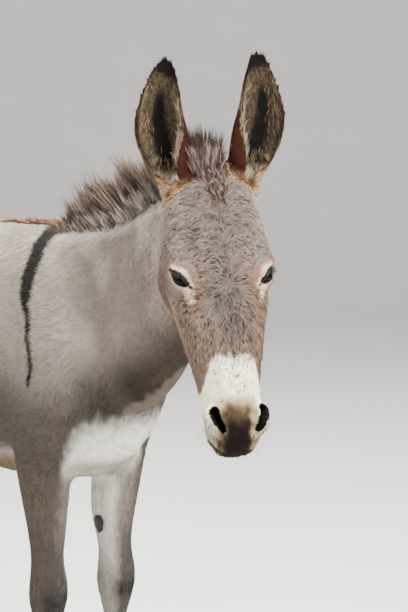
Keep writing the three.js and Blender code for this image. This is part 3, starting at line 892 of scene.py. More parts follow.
def paint_legs(coat):
    """White on the inner side, grey outside, darker at the knees, hocks and pasterns."""
    lay, y, z = coat.lay, coat.y, coat.z
    fore, hind = coat.w["foreleg"], coat.w["hindleg"]
    inner = -np.sign(coat.x) * coat.normals[:, 0]
    inner_front = ramp(inner + 0.45 * coat.normals[:, 1], 0.25, 0.75)
    lay(tone(74, 64, 56), fore * 0.9)
    lay(WHITE, inner_front * ramp(z, 320, 410) * (z < 660) * (y < 120) * (1 - coat.w["head"]))
    lay(tone(108, 95, 82), hind * 0.75)
    lay(WHITE, ramp(inner, 0.05, 0.55) * ramp(z, 430, 500) * (z < 720) * (y > 540))
    lay(tone(160, 156, 146), fore * ramp(inner, 0.3, 0.9) * 0.5)
    front = ramp(-coat.normals[:, 1], 0.2, 0.8)
    lay(KNEE_GREY, fore * ramp(z, 500, 380) * (0.35 + 0.5 * front) * (1 - 0.7 * ramp(inner, 0.2, 0.7)))
    blot = ramp(speckle(coat.points, 30, 9), 0.0, 0.6)
    lay(tone(22, 20, 20), fore * bell(z - 308, 26) * front * (0.6 + 0.3 * blot))
    lay(KNEE_GREY, hind * bell(z - 440, 46) * 0.6)
    lay(tone(52, 47, 44), (fore + hind) * ramp(z, 170, 90) * 0.85)
    lay(tone(120, 113, 104), 0.4 * hump(mirrored(coat.points), [150, -60, 870], [90, 110, 110]) * (1 - fore))


def paint_cross(coat):
    """The dark line over the shoulders and the one along the back, reddish where they meet at the
    withers."""
    lay, x, y, z = coat.lay, coat.x, coat.y, coat.z
    near, t = to_line(mirrored(coat.points), SHOULDER_STRIPE)
    wide = np.interp(
        t, np.arange(len(STRIPE_HALF_WIDTHS)) / (len(STRIPE_HALF_WIDTHS) - 1), STRIPE_HALF_WIDTHS
    )
    stripe = ramp(near + 1.2 * speckle(coat.points, 14, 5), wide + 1.5, wide - 1.5) * (z < 1062) * (y < 120)
    lay(STRIPE_BLACK, stripe * (1 - coat.w["neck"] * (z < 1000)) * 0.96)
    back = (
        ramp(np.abs(x) + 1.5 * coat.fine, 13, 8) * (y > -10) * ramp(coat.normals[:, 2], 0.3, 0.7)
        * (z > 800)
    )
    lay(tone(48, 34, 27), back * 0.9)
    withers = ramp(np.abs(x), 40, 18) * ramp(y, 70, 20) * ramp(y, -70, -20) * ramp(z, 1030, 1046)
    lay(tone(112, 82, 62), withers * 0.75)


def paint_mane_and_tail(coat):
    """Pale below the mane, partly a painted highlight, and brown at its foot. The tail darkens behind and
    downwards.
    """
    lay, tail, body = coat.lay, coat.w["tail"], 1 - coat.w["head"]
    crest, _ = to_line(coat.points, [row[:3] for row in MANE])
    # pale band below the mane: the coat's paler tone with a painted highlight along the top of the neck
    lay(tone(178, 169, 158), ramp(crest, 68, 40) * (coat.y < -20) * body * 0.75)
    lay(tone(96, 82, 71), ramp(crest, 24, 8) * (coat.y < -10) * body * 0.45)
    lay(tone(92, 78, 67), tail * 0.5)
    lay(tone(42, 31, 27), tail * ramp(coat.normals[:, 1], 0.3, 0.8) * 0.8)
    lay(tone(48, 37, 32), tail * ramp(coat.z, 660, 560))


def paint_face(coat):
    """Grey, darker down the middle, with painted shade down the left side, tan cheeks and tan folds at the
    foot of each ear, with painted shade in their creases.
    """
    lay, h, hm, head = coat.lay, coat.h, coat.hm, coat.w["head"]
    folds = to_folds(h)
    lay(FACE_GREY, head)
    coat.tint_head(FACE_TINTS)
    lay(tone(150, 134, 121), head * 0.6 * ramp(h[:, 2], -160, -60) * ramp(hm[:, 0], 52, 78))
    coat.tint_head(FOREHEAD_TINTS)
    lay(tone(92, 74, 61), head * ramp(hm[:, 1], 66, 120) * 0.5)
    coat.tint_head(CHEEK_TINTS)
    lay(tone(140, 104, 66), head * ramp(folds, 15, 7) * 0.65)
    coat.tint_head(EAR_FOOT_TINTS)
    # painted shade in the creases of the folds round the foot of each ear
    lay(tone(58, 36, 22), np.maximum(head, coat.w["ear"]) * ramp(folds, 6.2, 4.6) * 0.7)


def paint_round_eyes(coat):
    """A pale ring with a tan edge, widest above the outer corner, a pale streak under the tear duct,
    and the dark bare margin of the lids."""
    lay, hm, head = coat.lay, coat.hm, coat.w["head"]
    e = in_eye(coat.h)
    gap = outside_lids(e)
    close = head * (e[:, 2] > -12) * (np.abs(e[:, 0]) < 70)
    below = ramp(-e[:, 1] - 0.75 * e[:, 0], 2, 26)
    over = ramp(e[:, 1], 2, 8) * ramp(e[:, 0], -16, 2)
    reach = 4.5 + 4.5 * over + 1.5 * below + 1.6 * speckle(coat.points, 10, 6)
    lay(EYE_TAN, close * ramp(gap, 30, 8) * 0.45)
    lay(tone(106, 77, 56), head * bell(to_line(hm, EYE_RED_LINE)[0], 9) * 0.5)
    lay(tone(196, 168, 140), close * ramp(gap, reach + 6, reach - 1) * 0.8)
    palest = (0.25 + 0.55 * ramp(e[:, 0] + 0.4 * e[:, 1], -4, 14) + 0.3 * below).clip(0, 0.75)
    lay(tone(218, 202, 178), close * ramp(gap, reach, reach - 4) * palest)
    tear, along_tear = to_line(hm, TEAR_LINE)
    streak = ramp(tear + 3 * speckle(coat.points, 8, 7), 15 - 5 * along_tear, 2 - 2 * along_tear)
    lay(tone(196, 172, 143), head * streak * 0.75)
    lay(
        tone(6, 5, 5),
        close * np.maximum(ramp(gap, 3.0 + 1.2 * (e[:, 1] > 0), 1.4), ramp(to_corners(e), 3.0, 1.8)),
    )


def paint_nose(coat):
    """Cream from a ragged edge below the eyes, with dark specks, then tan and brown over the pad
    between the nostrils, which are dark like the line of the mouth."""
    lay, h, hm, fine = coat.lay, coat.h, coat.hm, coat.fine
    edge = -322 - 60 * ramp(hm[:, 0], 34, 58) - 10 * ramp(hm[:, 1], 40, 120) + 4 * speckle(coat.points, 14, 8)
    pale = coat.w["head"] * ramp(h[:, 2], edge + 6, edge - 6)
    front = pale * (h[:, 1] < 80)
    lay(tone(116, 90, 70), coat.w["head"] * 0.45 * bell(h[:, 2] - edge - 9, 8))
    lay(CREAM, pale)
    lay(tone(204, 180, 138), pale * 0.6 * hump(hm, [0, 10, -404], [22, 30, 12]))
    lay(tone(150, 138, 122), pale * 0.75 * ramp(hm[:, 0], 24, 42) * ramp(h[:, 2], -412, -446))
    to_speck = np.sqrt(((h[:, None, [0, 2]] - SPECKS) ** 2).sum(-1).min(1))
    lay(tone(30, 23, 19), pale * ramp(to_speck, 1.9, 1.2) * (h[:, 1] < 60) * 0.9)
    lay(tone(150, 122, 76), front * 0.75 * ramp(h[:, 2], -382, -402) * ramp(hm[:, 0], 44, 32))
    down, aside = h[:, 2] + 5 * fine, hm[:, 0] + 5 * fine
    lay(tone(38, 24, 9), front * 0.92 * ramp(down, -394, -418) * ramp(aside, 40, 18))
    pad_half_width = 37 + 4 * ramp(h[:, 2], -440, -465)
    lay(NOSE_BROWN, front * ramp(down, -414, -446) * ramp(aside, pad_half_width, 14))
    lay(tone(6, 4, 4), pale * ramp(to_nostril(h)[0], 1.7, 1.4))
    lay(tone(8, 6, 5), pale * ramp(to_mouth(h)[0], 8.5, 5.0))
    lay(tone(30, 23, 20), pale * ramp(h[:, 1], 66, 74) * ramp(h[:, 1], 110, 96) * ramp(h[:, 2], -462, -474))


def paint_ear(coat, side):
    """Tan and rufous outside, peppered brown inside with a black core of dark hair and painted shade in the
    deep cup, pale at the foot, with a dark rim and a black tip."""
    lay = coat.lay
    q = in_ear(coat.points, side)
    height = q[:, 2]
    on = coat.w["ear"] * ((coat.h[:, 0] * side) > 0)
    out, half, front_reach, back_reach = at_height(EAR, height)
    nearer, outer = at_height(EAR_EDGES, height)
    reach = np.where(q[:, 1] > 0, back_reach, front_reach)
    angle = np.degrees(np.arctan2((q[:, 0] - out) / half, q[:, 1] / reach))
    arc = half * np.pi / 180  # millimetres along the ear for each degree
    to_rim = np.minimum(np.abs(angle + nearer), np.abs(angle - outer)) * arc
    _, axes = ear_frame(side)
    normal = (coat.normals @ axes) * [side, 1, 1]
    outward = normal[:, 0] * (q[:, 0] - out) / half + normal[:, 1] * q[:, 1] / back_reach
    inside = ramp(outward, 0.15, -0.15)
    pepper = speckle(coat.points, 6, 13)
    lay(tone(98, 72, 55), on)
    lay(
        CHESTNUT_RED,
        on * (1 - inside) * ramp(angle, -20, -70) * ramp(height, 6, 22) * ramp(height, 190, 120),
    )
    lay(tone(146, 114, 80), on * (1 - inside) * ramp(height, 40, 22) * ramp(angle, -40, 20))
    lay(tone(74, 62, 46), on * inside)
    lay(tone(26, 20, 14), on * inside * ramp(pepper, -0.7, 0.6) * 0.85)
    lay(tone(150, 132, 104), on * inside * ramp(angle, -66, -100) * ramp(height, 170, 110) * 0.7)
    lay(tone(206, 194, 172), on * inside * ramp(height, 50, 30))
    # the black core inside the ear: dark hair with painted shade of the deep cup
    core_angle = 14 if side > 0 else 3
    wide = np.interp(height, [30, 70, 120, 196], [0.6, 1.0, 0.9, 0.35])
    core = np.abs(angle - core_angle) * arc / wide + 8 * pepper
    streak = ramp(core, 23, 12) * ramp(height, 30, 50) * ramp(height + 6 * pepper, 200, 168)
    lay(tone(7, 5, 5), on * inside * streak)
    tip = ramp(height + 3 * pepper - 0.12 * angle, 204, 220)
    strip = ramp(angle, -55, -80) * ramp(height, 150, 178)
    lay(tone(48, 22, 12), on * ramp(to_rim, 5.0, 2.0) * ramp(height, 10, 30))
    lay(BLACK_BROWN, on * np.maximum(tip, strip * (1 - inside)))


def markings(points, normals):
    """The colour of the coat at each point, as linear red, green and blue."""
    coat = Painted(points, normals)
    for paint in (
        paint_trunk, paint_legs, paint_cross, paint_mane_and_tail, paint_face, paint_round_eyes, paint_nose,
    ):
        paint(coat)
    for _, side in SIDES:
        paint_ear(coat, side)
    grain = 1 + 0.05 * coat.fine + 0.05 * speckle(points, 9, 14)
    return np.clip(coat.colour * grain[:, None], 0, 1)


# ---------------------------------------------------------------- the lie of the coat
WHORL_ASIDE, WHORL_DOWN = 4, -196  # the whorl of hair between the eyes, in the head's frame


def lie_on_face(points, h):
    """On the face the hair runs away from the whorl, parts over the forehead and turns down on the
    cheeks."""
    from_whorl = h[:, 0] - WHORL_ASIDE
    none = 0 * from_whorl
    away = unit(np.stack([from_whorl, 0.25 * h[:, 1], h[:, 2] - WHORL_DOWN], 1))
    face = away + [0, 0.15, 0] + np.stack([none, none, -ramp(h[:, 2], -230, -330)], 1)
    aside = np.clip((from_whorl + 10 * speckle(points, 42, 61)) / 26, -1, 1)
    parted = unit(np.stack([aside, 0.15 + none, 0.35 - 0.6 * np.abs(aside)], 1))
    forehead = (ramp(h[:, 2], -200, -140) * ramp(h[:, 2], 25, -15))[:, None]
    face = unit(face + forehead * (parted - unit(face)))
    cheek = ramp(h[:, 1], 30, 80)[:, None]
    return unit(face + cheek * (np.array([0, 0.55, -0.8]) * 1.6 - face))


def lie_of_coat(points, normals):
    """The way the hair lies at each point, laid into the surface: tailward and down on the trunk, down
    on the legs, its own way on the face, and up on the ears."""
    h = in_head(points)
    w = where(points)
    way = np.tile([0.0, 1.0, -0.45], (len(points), 1))
    breast = ramp(points[:, 1], -60, -140) * ramp(points[:, 2], 850, 760)
    turns = [
        ([[0.0, 0.25, -1.0]], breast),
        ([[0.0, 0.75, -0.8]], w["neck"]),
        ([[0.0, 0.06, -1.0]], np.maximum(w["foreleg"], w["hindleg"])),
        ([[0.0, 0.1, -1.0]], w["tail"]),
        (lie_on_face(points, h) @ HEAD_AXES.T, w["head"]),
    ]
    for _, side in SIDES:
        turns.append(([ear_frame(side)[1][:, 2]], w["ear"] * ((h[:, 0] * side) > 0)))
    for direction, share in turns:
        way = way + share[:, None] * (unit(np.asarray(direction, float)) - way)
    way = way - (way * normals).sum(1)[:, None] * normals
    return unit(way)


def unwrap(points, normals):
    """The skin laid flat on the unit square: each part is opened along one line and rolled out round
    its own axis. u is the angle round the axis and v the way along it, each part in a box of its own."""
    x, y, z = points.T
    h = in_head(points)
    w = where(points)

    def rolled(angle, along, low, high):
        """Angles and shares along, in the box between its low and its high corner."""
        u, v = angle / (2 * np.pi) + 0.5, np.clip(along, 0, 1)
        return np.stack([low[0] + u * (high[0] - low[0]), low[1] + v * (high[1] - low[1])], 1)

    trunk = rolled(np.arctan2(x, z - 770), (y + 220) / 1040, (0.01, 0.01), (0.6, 0.55))
    along_neck = ((points - [0, -60, 900]) @ unit(np.array([-0.2, -0.8, 0.45]))) / 560
    neck_middle = np.interp(-y, [-20, 90, 278, 455], [836, 866, 954, 1054])
    across_neck = np.arctan2(x + 0.26 * np.maximum(0, -y - 200), z - neck_middle)
    neck = rolled(across_neck, along_neck, (0.01, 0.57), (0.4, 0.85))
    tail = rolled(np.arctan2(x, y - 850), (z - 520) / 420, (0.01, 0.87), (0.4, 0.98))
    laid = [(w["neck"] > 0.5, neck), (w["tail"] > 0.5, tail)]
    for kind, line, low in (("foreleg", FORELEG_LINE, 0.62), ("hindleg", HINDLEG_LINE, 0.81)):
        for _, side in SIDES:
            u = low + (0.09 if side > 0 else 0)
            leg = rolled(np.arctan2(x - side * line[0], y - line[1]), z / 700, (u, 0.01), (u + 0.085, 0.55))
            laid.append(((w[kind] > 0.5) & (x * side > 0), leg))
    head = rolled(np.arctan2(h[:, 0], 75 - h[:, 1]), (h[:, 2] + 500) / 560, (0.42, 0.57), (0.78, 0.98))
    laid.append((w["head"] > 0.5, head))
    for _, side in SIDES:
        q = in_ear(points, side)
        _, axes = ear_frame(side)
        inner = ((normals @ axes) * [side, 1, 1] * (q - [12, 0, 0])).sum(1) < 0
        low = 0.57 + (0.21 if side > 0 else 0)
        for flag, u in ((inner, 0.8), (~inner, 0.9)):
            ear = rolled(
                np.arctan2(q[:, 0] - 12, q[:, 1]), (q[:, 2] + 30) / 280, (u, low), (u + 0.09, low + 0.2)
            )
            laid.append(((w["ear"] > 0.5) & flag & (h[:, 0] * side > 0), ear))
    place = trunk
    for chosen, spot in laid:
        place = np.where(chosen[:, None], spot, place)
    return place


# ---------------------------------------------------------------- pieces
COLOURS = "Coat"  # the name of every piece's colour layer


def give_colour(mesh, colours):
    layer = mesh.color_attributes.new(COLOURS, "FLOAT_COLOR", "POINT")
    rgba = np.ones((len(colours), 4), np.float32)
    rgba[:, :3] = colours
    layer.data.foreach_set("color", rgba.ravel())


def give_uv(mesh, faces, uv):
    layer = mesh.uv_layers.new(name="OFBake")
    layer.data.foreach_set("uv", np.ascontiguousarray(uv[faces.ravel()], np.float32).ravel())


def piece(name, points, faces, material, stands_for=(), colours=None, uv=None):
    """Puts a finished shape in millimetres into the scene as one object at the origin."""
    mesh = mesh_of(name, metres(points), faces)
    if colours is not None:
        give_colour(mesh, colours)
    if uv is not None:
        give_uv(mesh, faces, uv)
    thing = bpy.data.objects.new(name, mesh)
    bpy.context.scene.collection.objects.link(thing)
    mesh.materials.append(material)
    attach(thing, "root")
    if stands_for:
        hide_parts(*stands_for)
    return thing


def blades(root, normal, way, length, width, lift, curl, cuts):
    """Flat tapering blades of hair: each runs from its root along its way, rises by its lift and bends
    by its curl, in a number of cuts, and ends in a point. Returns points, triangles and the share of
    the length at each point."""
    count = len(root)
    side = np.cross(way, normal)
    s = np.linspace(0, 1, cuts + 1)
    spine = root[:, None] + way[:, None] * (length[:, None] * s)[..., None]
    spine = spine + normal[:, None] * (length[:, None] * lift[:, None] * (1.5 * s - 0.5 * s**2))[..., None]
    spine = spine + side[:, None] * (length[:, None] * curl[:, None] * s**2)[..., None]
    half = (width[:, None] / 2 * (1 - s[:-1] ** 1.6 * 0.75))[..., None] * side[:, None]
    pair = np.stack([spine[:, :-1] - half, spine[:, :-1] + half], 2).reshape(count, 2 * cuts, 3)
    points = np.concatenate([pair, spine[:, -1:]], 1)
    local = []
    for k in range(cuts - 1):
        local += [[2 * k, 2 * k + 1, 2 * k + 3], [2 * k, 2 * k + 3, 2 * k + 2]]
    local.append([2 * cuts - 2, 2 * cuts - 1, 2 * cuts])
    triangles = (np.arange(count)[:, None, None] * (2 * cuts + 1) + np.array(local)).reshape(-1, 3)
    share = np.append(np.repeat(s[:-1], 2), 1.0)
    return points.reshape(-1, 3), triangles, share


def hair_piece(name, hair, root_colour, tip_colour, roots, root_normals, material, slot, stands_for=()):
    """A joined piece of blades, each coloured from its root to its tip and unwrapped as a patch at its
    root."""
    points, triangles, share = hair
    colours = root_colour[:, None] + (tip_colour - root_colour)[:, None] * share[:, None]
    across = np.where(np.arange(len(share)) % 2 == 0, -0.0012, 0.0012)
    across[-1] = 0
    patch = np.stack([across, (share - 0.5) * 0.0028], 1)
    uv = unwrap(roots, root_normals)[:, None] + patch
    return piece(
        name, points, triangles, material, stands_for, colours.reshape(-1, 3), uv.reshape(-1, 2),
    )


# ---------------------------------------------------------------- materials
def material(name, **sockets):
    made = bpy.data.materials.new(name)
    made.use_nodes = True
    shader = made.node_tree.nodes["Principled BSDF"]
    for socket, value in sockets.items():
        shader.inputs[socket.replace("_", " ")].default_value = value
    return made, made.node_tree, shader


def add(tree, kind, **values):
    node = tree.nodes.new(kind)
    for key, value in values.items():
        if hasattr(node, key):
            setattr(node, key, value)
        else:
            node.inputs[key.replace("_", " ")].default_value = value
    return node


def spread_noise(tree, noise, low, high):
    """The middle part of a noise spread over the values from low to high."""
    node = add(tree, "ShaderNodeMapRange")
    for key, value in (("From Min", 0.3), ("From Max", 0.7), ("To Min", low), ("To Max", high)):
        node.inputs[key].default_value = value
    tree.links.new(noise.outputs["Fac"], node.inputs["Value"])
    return node.outputs["Result"]


def hair_like(name, scale, strength, bump, roughness=0.78, stretch=(1, 1, 1), **sockets):
    """The painted colours broken up by noise on Object coordinates, which also feeds a bump and the
    roughness."""
    made, tree, shader = material(name, Roughness=roughness, **sockets)
    link = tree.links.new
    paint = add(tree, "ShaderNodeAttribute", attribute_name=COLOURS)
    coords = add(tree, "ShaderNodeTexCoord")
    mapping = add(tree, "ShaderNodeMapping")
    mapping.inputs["Scale"].default_value = stretch
    noise = add(tree, "ShaderNodeTexNoise", Scale=scale, Detail=5.0, Roughness=0.62)
    link(coords.outputs["Object"], mapping.inputs["Vector"])
    link(mapping.outputs["Vector"], noise.inputs["Vector"])
    times = add(tree, "ShaderNodeVectorMath", operation="SCALE")
    link(paint.outputs["Color"], times.inputs[0])
    link(spread_noise(tree, noise, 1 - strength, 1 + strength), times.inputs["Scale"])
    link(times.outputs["Vector"], shader.inputs["Base Color"])
    link(spread_noise(tree, noise, roughness - 0.08, roughness + 0.1), shader.inputs["Roughness"])
    if bump:
        raised = add(tree, "ShaderNodeBump", Strength=0.6, Distance=bump)
        link(noise.outputs["Fac"], raised.inputs["Height"])
        link(raised.outputs["Normal"], shader.inputs["Normal"])
    return made


skin_finish = hair_like("short_coat_on_skin", 420.0, 0.16, 0.0012, Specular_IOR_Level=0.1)
coat_finish = hair_like("coat_hair", 260.0, 0.12, 0, Specular_IOR_Level=0.1)
mane_finish = hair_like("coarse_hair", 200.0, 0.15, 0, 0.65, Specular_IOR_Level=0.15)
horn_finish = hair_like("hoof_horn", 60.0, 0.3, 0.0012, 0.5, (3, 3, 0.35), Specular_IOR_Level=0.45)
eye_finish = hair_like(
    "wet_eye", 300.0, 0.1, 0, 0.12, Coat_Weight=0.05, Coat_Roughness=0.03, Specular_IOR_Level=0.02,
)
lid_finish = hair_like("lid_margin", 500.0, 0.2, 0.0004, 0.4, Specular_IOR_Level=0.15)
chestnut_finish = hair_like("chestnut_horn", 350.0, 0.3, 0.0016, 0.6, Specular_IOR_Level=0.35)


# ---------------------------------------------------------------- skin
SLIT_BLACK = tone(6, 4, 4)
LEG_NODES = [
    f"leg_{kind}_{name}_{part}"
    for kind in ("fore", "hind")
    for name, _ in SIDES
    for part in ("upper", "lower")
]
FLESH = [
    "head", "muzzle", "chin", "ear_left", "ear_right", "neck", "trunk_shoulders", "trunk_barrel",
    "trunk_hindquarters", "tail",
]
skin_points, skin_triangles, skin_normals, nostril_lining = build_skin()
skin_colours = markings(skin_points, skin_normals)
skin_colours[nostril_lining] = SLIT_BLACK
skin_uv = unwrap(skin_points, skin_normals)
piece("skin", skin_points, skin_triangles, skin_finish, FLESH + LEG_NODES, skin_colours, skin_uv)
corner = skin_points[skin_triangles]
middle = corner.mean(1)
crossed = np.cross(corner[:, 1] - corner[:, 0], corner[:, 2] - corner[:, 0])
area, flat = np.linalg.norm(crossed, axis=1) / 2, unit(crossed)


# ---------------------------------------------------------------- coat
COAT_FOOT = 57  # the height above the ground where the coat ends
MUZZLE_TOP = -330  # where the muzzle's coat begins, in the head's frame
# name: how many blades, length, width, lift, how much the clumps differ in tone and how dark the painted
# shade at their roots is
COAT = {
    "coat_muzzle": (40000, 4.5, 0.9, 0.22, 0.08),
    "coat_face": (65000, 8.5, 1.1, 0.12, 0.54),
    "coat_cheeks": (44000, 8.5, 1.3, 0.11, 0.3),
    "coat_ears": (40000, 6.5, 1.0, 0.09, 0.28),
    "coat_neck": (62000, 12.0, 1.6, 0.08, 0.10),
    "coat_shoulders": (58000, 12.0, 1.9, 0.10, 0.10),
    "coat_barrel": (48000, 13.0, 2.1, 0.10, 0.10),
    "coat_hindquarters": (50000, 12.5, 2.1, 0.10, 0.10),
    "coat_forelegs": (38000, 8.5, 1.6, 0.11, 0.14),
    "coat_hindlegs": (42000, 9.0, 1.7, 0.11, 0.14),
}
CURLY = ("coat_face", "coat_cheeks")


def bare_places(points):
    """Where no coat grows: the lids' margins, the nostrils, the line of the mouth and below the coat's
    foot."""
    h = in_head(points)
    e = in_eye(h)
    near_eye = (e[:, 2] > 0) & (np.linalg.norm(e, axis=1) < 40)
    lids = ((outside_lids(e) < 1.4) | (to_corners(e) < 2.4)) & near_eye
    nostrils = to_nostril(h)[0] < 2.0 + 0.7 * (np.abs(h[:, 0]) > 34)
    return lids | nostrils | (to_mouth(h)[0] < 4.5) | (points[:, 2] < COAT_FOOT)


def coat_zones(points):
    """Which of the points each piece of the coat covers."""
    h, w = in_head(points), where(points)
    head, muzzle, front = w["head"] > 0.5, h[:, 2] < MUZZLE_TOP, h[:, 1] < 60
    zones = {
        "coat_muzzle": head & muzzle,
        "coat_face": head & ~muzzle & front,
        "coat_cheeks": head & ~muzzle & ~front,
        "coat_ears": w["ear"] >= 0.5,
        "coat_neck": w["neck"] > 0.5,
        "coat_forelegs": w["foreleg"] > 0.5,
        "coat_hindlegs": (w["hindleg"] > 0.5) | (w["tail"] > 0.5),
    }
    trunk = ~np.any(list(zones.values()), axis=0)
    shoulders, hindquarters = points[:, 1] < 190, points[:, 1] >= 480
    zones["coat_shoulders"] = trunk & shoulders
    zones["coat_barrel"] = trunk & ~shoulders & ~hindquarters
    zones["coat_hindquarters"] = trunk & hindquarters
    return zones


def roots_on_skin(chosen, count):
    """Random places on the chosen triangles, as many on each as its area is worth, with their smooth
    normals."""
    index = np.flatnonzero(chosen)
    total = np.cumsum(area[index])
    pick = index[np.searchsorted(total, rng.random(count) * total[-1])]
    a, b = rng.random(count), rng.random(count)
    a, b = np.where(a + b > 1, 1 - a, a), np.where(a + b > 1, 1 - b, b)
    share = np.stack([1 - a - b, a, b], 1)[..., None]
    return (corner[pick] * share).sum(1), unit((skin_normals[skin_triangles[pick]] * share).sum(1))


def grizzled_share(root):
    """How many of the muzzle's hairs are dark: more at the sides of the mouth."""
    h = in_head(root)
    sides = 0.36 * ramp(np.abs(h[:, 0]), 24, 40) * ramp(h[:, 2], -385, -430)
    return 0.02 + sides + 0.3 * ramp(h[:, 2], -440, -466)


def grow_coat(name, chosen, count, length, width, lift, contrast):
    """One piece of the coat: small clumps of short blades whose roots lie spread round the clump's centre. A
    clump has one way and one shade, and each blade takes its colours from the markings near its root and near
    its tip, with painted shade darkening it at the root."""
    curly = name in CURLY
    clump = 7 if curly else 5
    centre, normal = roots_on_skin(chosen, count // clump)
    way = lie_of_coat(centre, normal)
    side = np.cross(way, normal)
    way = unit(way + side * (rng.normal(0, 0.16, len(way)) + 0.22 * speckle(centre, 24, 21))[:, None])
    side = np.cross(way, normal)
    shade = 1 + contrast * rng.normal(0, 1, (len(way), 1)).clip(-1.8, 1.8)
    which = np.repeat(np.arange(len(way)), clump)
    curl = rng.normal(0, 0.3 if curly else 0.1, len(way))[which]
    centre, normal, way, side, shade = (k[which] for k in (centre, normal, way, side, shade))
    count = len(which)
    near_eye = ramp(np.linalg.norm(in_eye(in_head(centre)), axis=1), 42, 26) * curly
    lengths = length * rng.uniform(0.7, 1.25, count) * (1 - 0.6 * near_eye)
    widths = width * rng.uniform(0.75, 1.3, count) * (1 - 0.3 * near_eye)
    lifts = lift * rng.uniform(0.5, 1.5, count) * (1 - 0.5 * near_eye)
    if name == "coat_ears":
        lengths *= 1 + 0.4 * ramp(speckle(centre, 20, 31), 0.2, 1)
    ahead, across = rng.uniform(-0.5, 0.4, count) * lengths, rng.normal(0, 0.7, count) * widths
    root = centre + way * ahead[:, None] + side * across[:, None]
    hair = blades(root - normal * 0.4, normal, way, lengths, widths, lifts, curl - 0.6 * across / lengths, 2)
    low, high = (markings(root + way * (share * lengths)[:, None], normal) for share in (0.25, 0.9))
    vary = shade + rng.normal(0, 0.06, (count, 1))
    if name == "coat_muzzle":
        vary = np.where(rng.random((count, 1)) < grizzled_share(root)[:, None], 0.05, vary)
    # the root is darkened with painted shade between the blades, and the tip is made lighter
    root_tone = np.clip(low * vary * (0.88 - 0.8 * contrast), 0, 1)
    tip_tone = np.clip(high * vary * (1.14 + 0.25 * contrast), 0, 1)
    hair_piece(name, hair, root_tone, tip_tone, root, normal, coat_finish, "coat")


bare, zones = bare_places(middle), coat_zones(middle)
for name, values in COAT.items():
    grow_coat(name, zones[name] & ~bare, *values)


# ---------------------------------------------------------------- eyes and their lids
LASHES = 90


def eye_point(along, above, out, side):
    """A place in an eye's frame, in the body's frame."""
    q = along[..., None] * EYE_ALONG + above[..., None] * EYE_ABOVE + out[..., None] * EYE_OUT + EYE_CENTRE
    return from_head(q * [side, 1, 1])


def on_ball(along, above, radius):
    """How far out a place lies on a ball about the eye's centre."""
    return np.sqrt(np.maximum(radius**2 - along**2 - above**2, 1.0))


def eyeball(name, side):
    """A ball about the eye's own axis, with a clear bulge in front. The pupil is a level oval."""
    rings, around = 49, 64
    v, u = np.meshgrid(np.linspace(0, np.pi, rings), 2 * np.pi * np.arange(around) / around, indexing="ij")
    bulge = EYE_RADIUS - 0.6 + 1.6 * ramp(v, 0.75, 0.0)
    a, b, c = bulge * np.sin(v) * np.cos(u), bulge * np.sin(v) * np.sin(u), bulge * np.cos(v)
    a, b, c = (k.reshape(-1) for k in (a, b, c))
    points = eye_point(a, b, c, side)
    radial = np.hypot(a, b)
    streaks = 0.5 + 0.5 * np.sin(40 * np.arctan2(b, a) + 3 * np.sin(radial))
    # a painted reflection: a thin bluish line low on the eye
    painted_reflection = np.exp(-(((b + 6.0 - 0.012 * a**2) / 0.8) ** 2)) * ramp(np.abs(a), 11, 6) * (c > 0)
    colours = np.tile(tone(7, 4, 3), (len(points), 1))
    for share, paint in (
        (ramp(radial, 4, 12) * 0.7 * streaks, tone(14, 8, 5)),  # the iris
        (ramp(np.hypot(a / 9.5, b / 5.5), 1.1, 0.95), tone(1, 1, 2)),  # the pupil
        (ramp(radial, 14.5, 16.5), tone(20, 15, 13)),  # the edge of the white
        # painted reflection
        (0.5 * painted_reflection, tone(70, 88, 108)),  # a bluish line low on the eye
    ):
        colours += share[:, None] * (paint - colours)
    faces = grid_quads(rings, around)[:, :: (1 if side < 0 else -1)]
    piece(f"eyeball_{name}", points, faces, eye_finish, [f"eye_{name}"], colours)


def lid_margin(name, side):
    """A thin roll that follows the edge of both lids round the opening, on the ball."""
    steps, around = 96, 12
    t = 2 * np.pi * np.arange(steps) / steps
    along = SLIT * np.cos(t)
    upper, lower = lid_edges(along)
    above = np.where(np.sin(t) >= 0, upper, lower)
    spine = np.stack([along, above, on_ball(along, above, EYE_RADIUS + 1.2)], 1)
    flow = unit(np.roll(spine, -1, 0) - np.roll(spine, 1, 0))
    outward = unit(spine - (spine * flow).sum(1)[:, None] * flow)
    across = np.cross(flow, outward)
    ring = (2 * np.pi * np.arange(around) / around)[:, None]
    thick = np.where(above > 0, 2.8, 1.5)[:, None, None]
    roll = spine[:, None] + thick * (np.cos(ring) * outward[:, None] + np.sin(ring) * across[:, None])
    points = eye_point(*(roll[..., k].reshape(-1) for k in range(3)), side)
    faces = grid_quads(steps + 1, around)[:, :: (1 if side > 0 else -1)] % len(points)
    dark = np.tile(tone(6, 5, 5), (len(points), 1))
    piece(f"lid_margin_{name}", points, faces, lid_finish, colours=dark)


def lashes(name, side):
    """Lashes stand out from the upper lid in one thin row and bend down."""
    along = rng.uniform(-2, SLIT - 1, LASHES)
    above = lid_edges(along)[0] + rng.uniform(0, 1.2, LASHES)
    out = on_ball(along, above, EYE_RADIUS + 2.2)
    base = eye_point(along, above, out, side)
    aside = 0.25 * along / 10 + rng.normal(0, 0.1, LASHES)
    a, b, c = unit(np.stack([aside, -0.10 + rng.normal(0, 0.12, LASHES), 1 + 0 * along], 1)).T
    ahead = unit(eye_point(along + a, above + b, out + c, side) - base)
    over = unit(eye_point(along, above + 1, out, side) - base)
    over = unit(over - (over * ahead).sum(1)[:, None] * ahead)
    length, curl = rng.uniform(8, 14, LASHES), rng.normal(0, 0.1, LASHES)
    hair = blades(base, over, ahead, length, np.full(LASHES, 0.6), np.full(LASHES, -0.35), curl, 4)
    dark = np.tile(tone(7, 5, 5), (LASHES, 1))
    hair_piece(f"lashes_{name}", hair, dark, dark, base, over, mane_finish, "dark_hair")


for name, side in SIDES:
    eyeball(name, side)
    lid_margin(name, side)
    lashes(name, side)


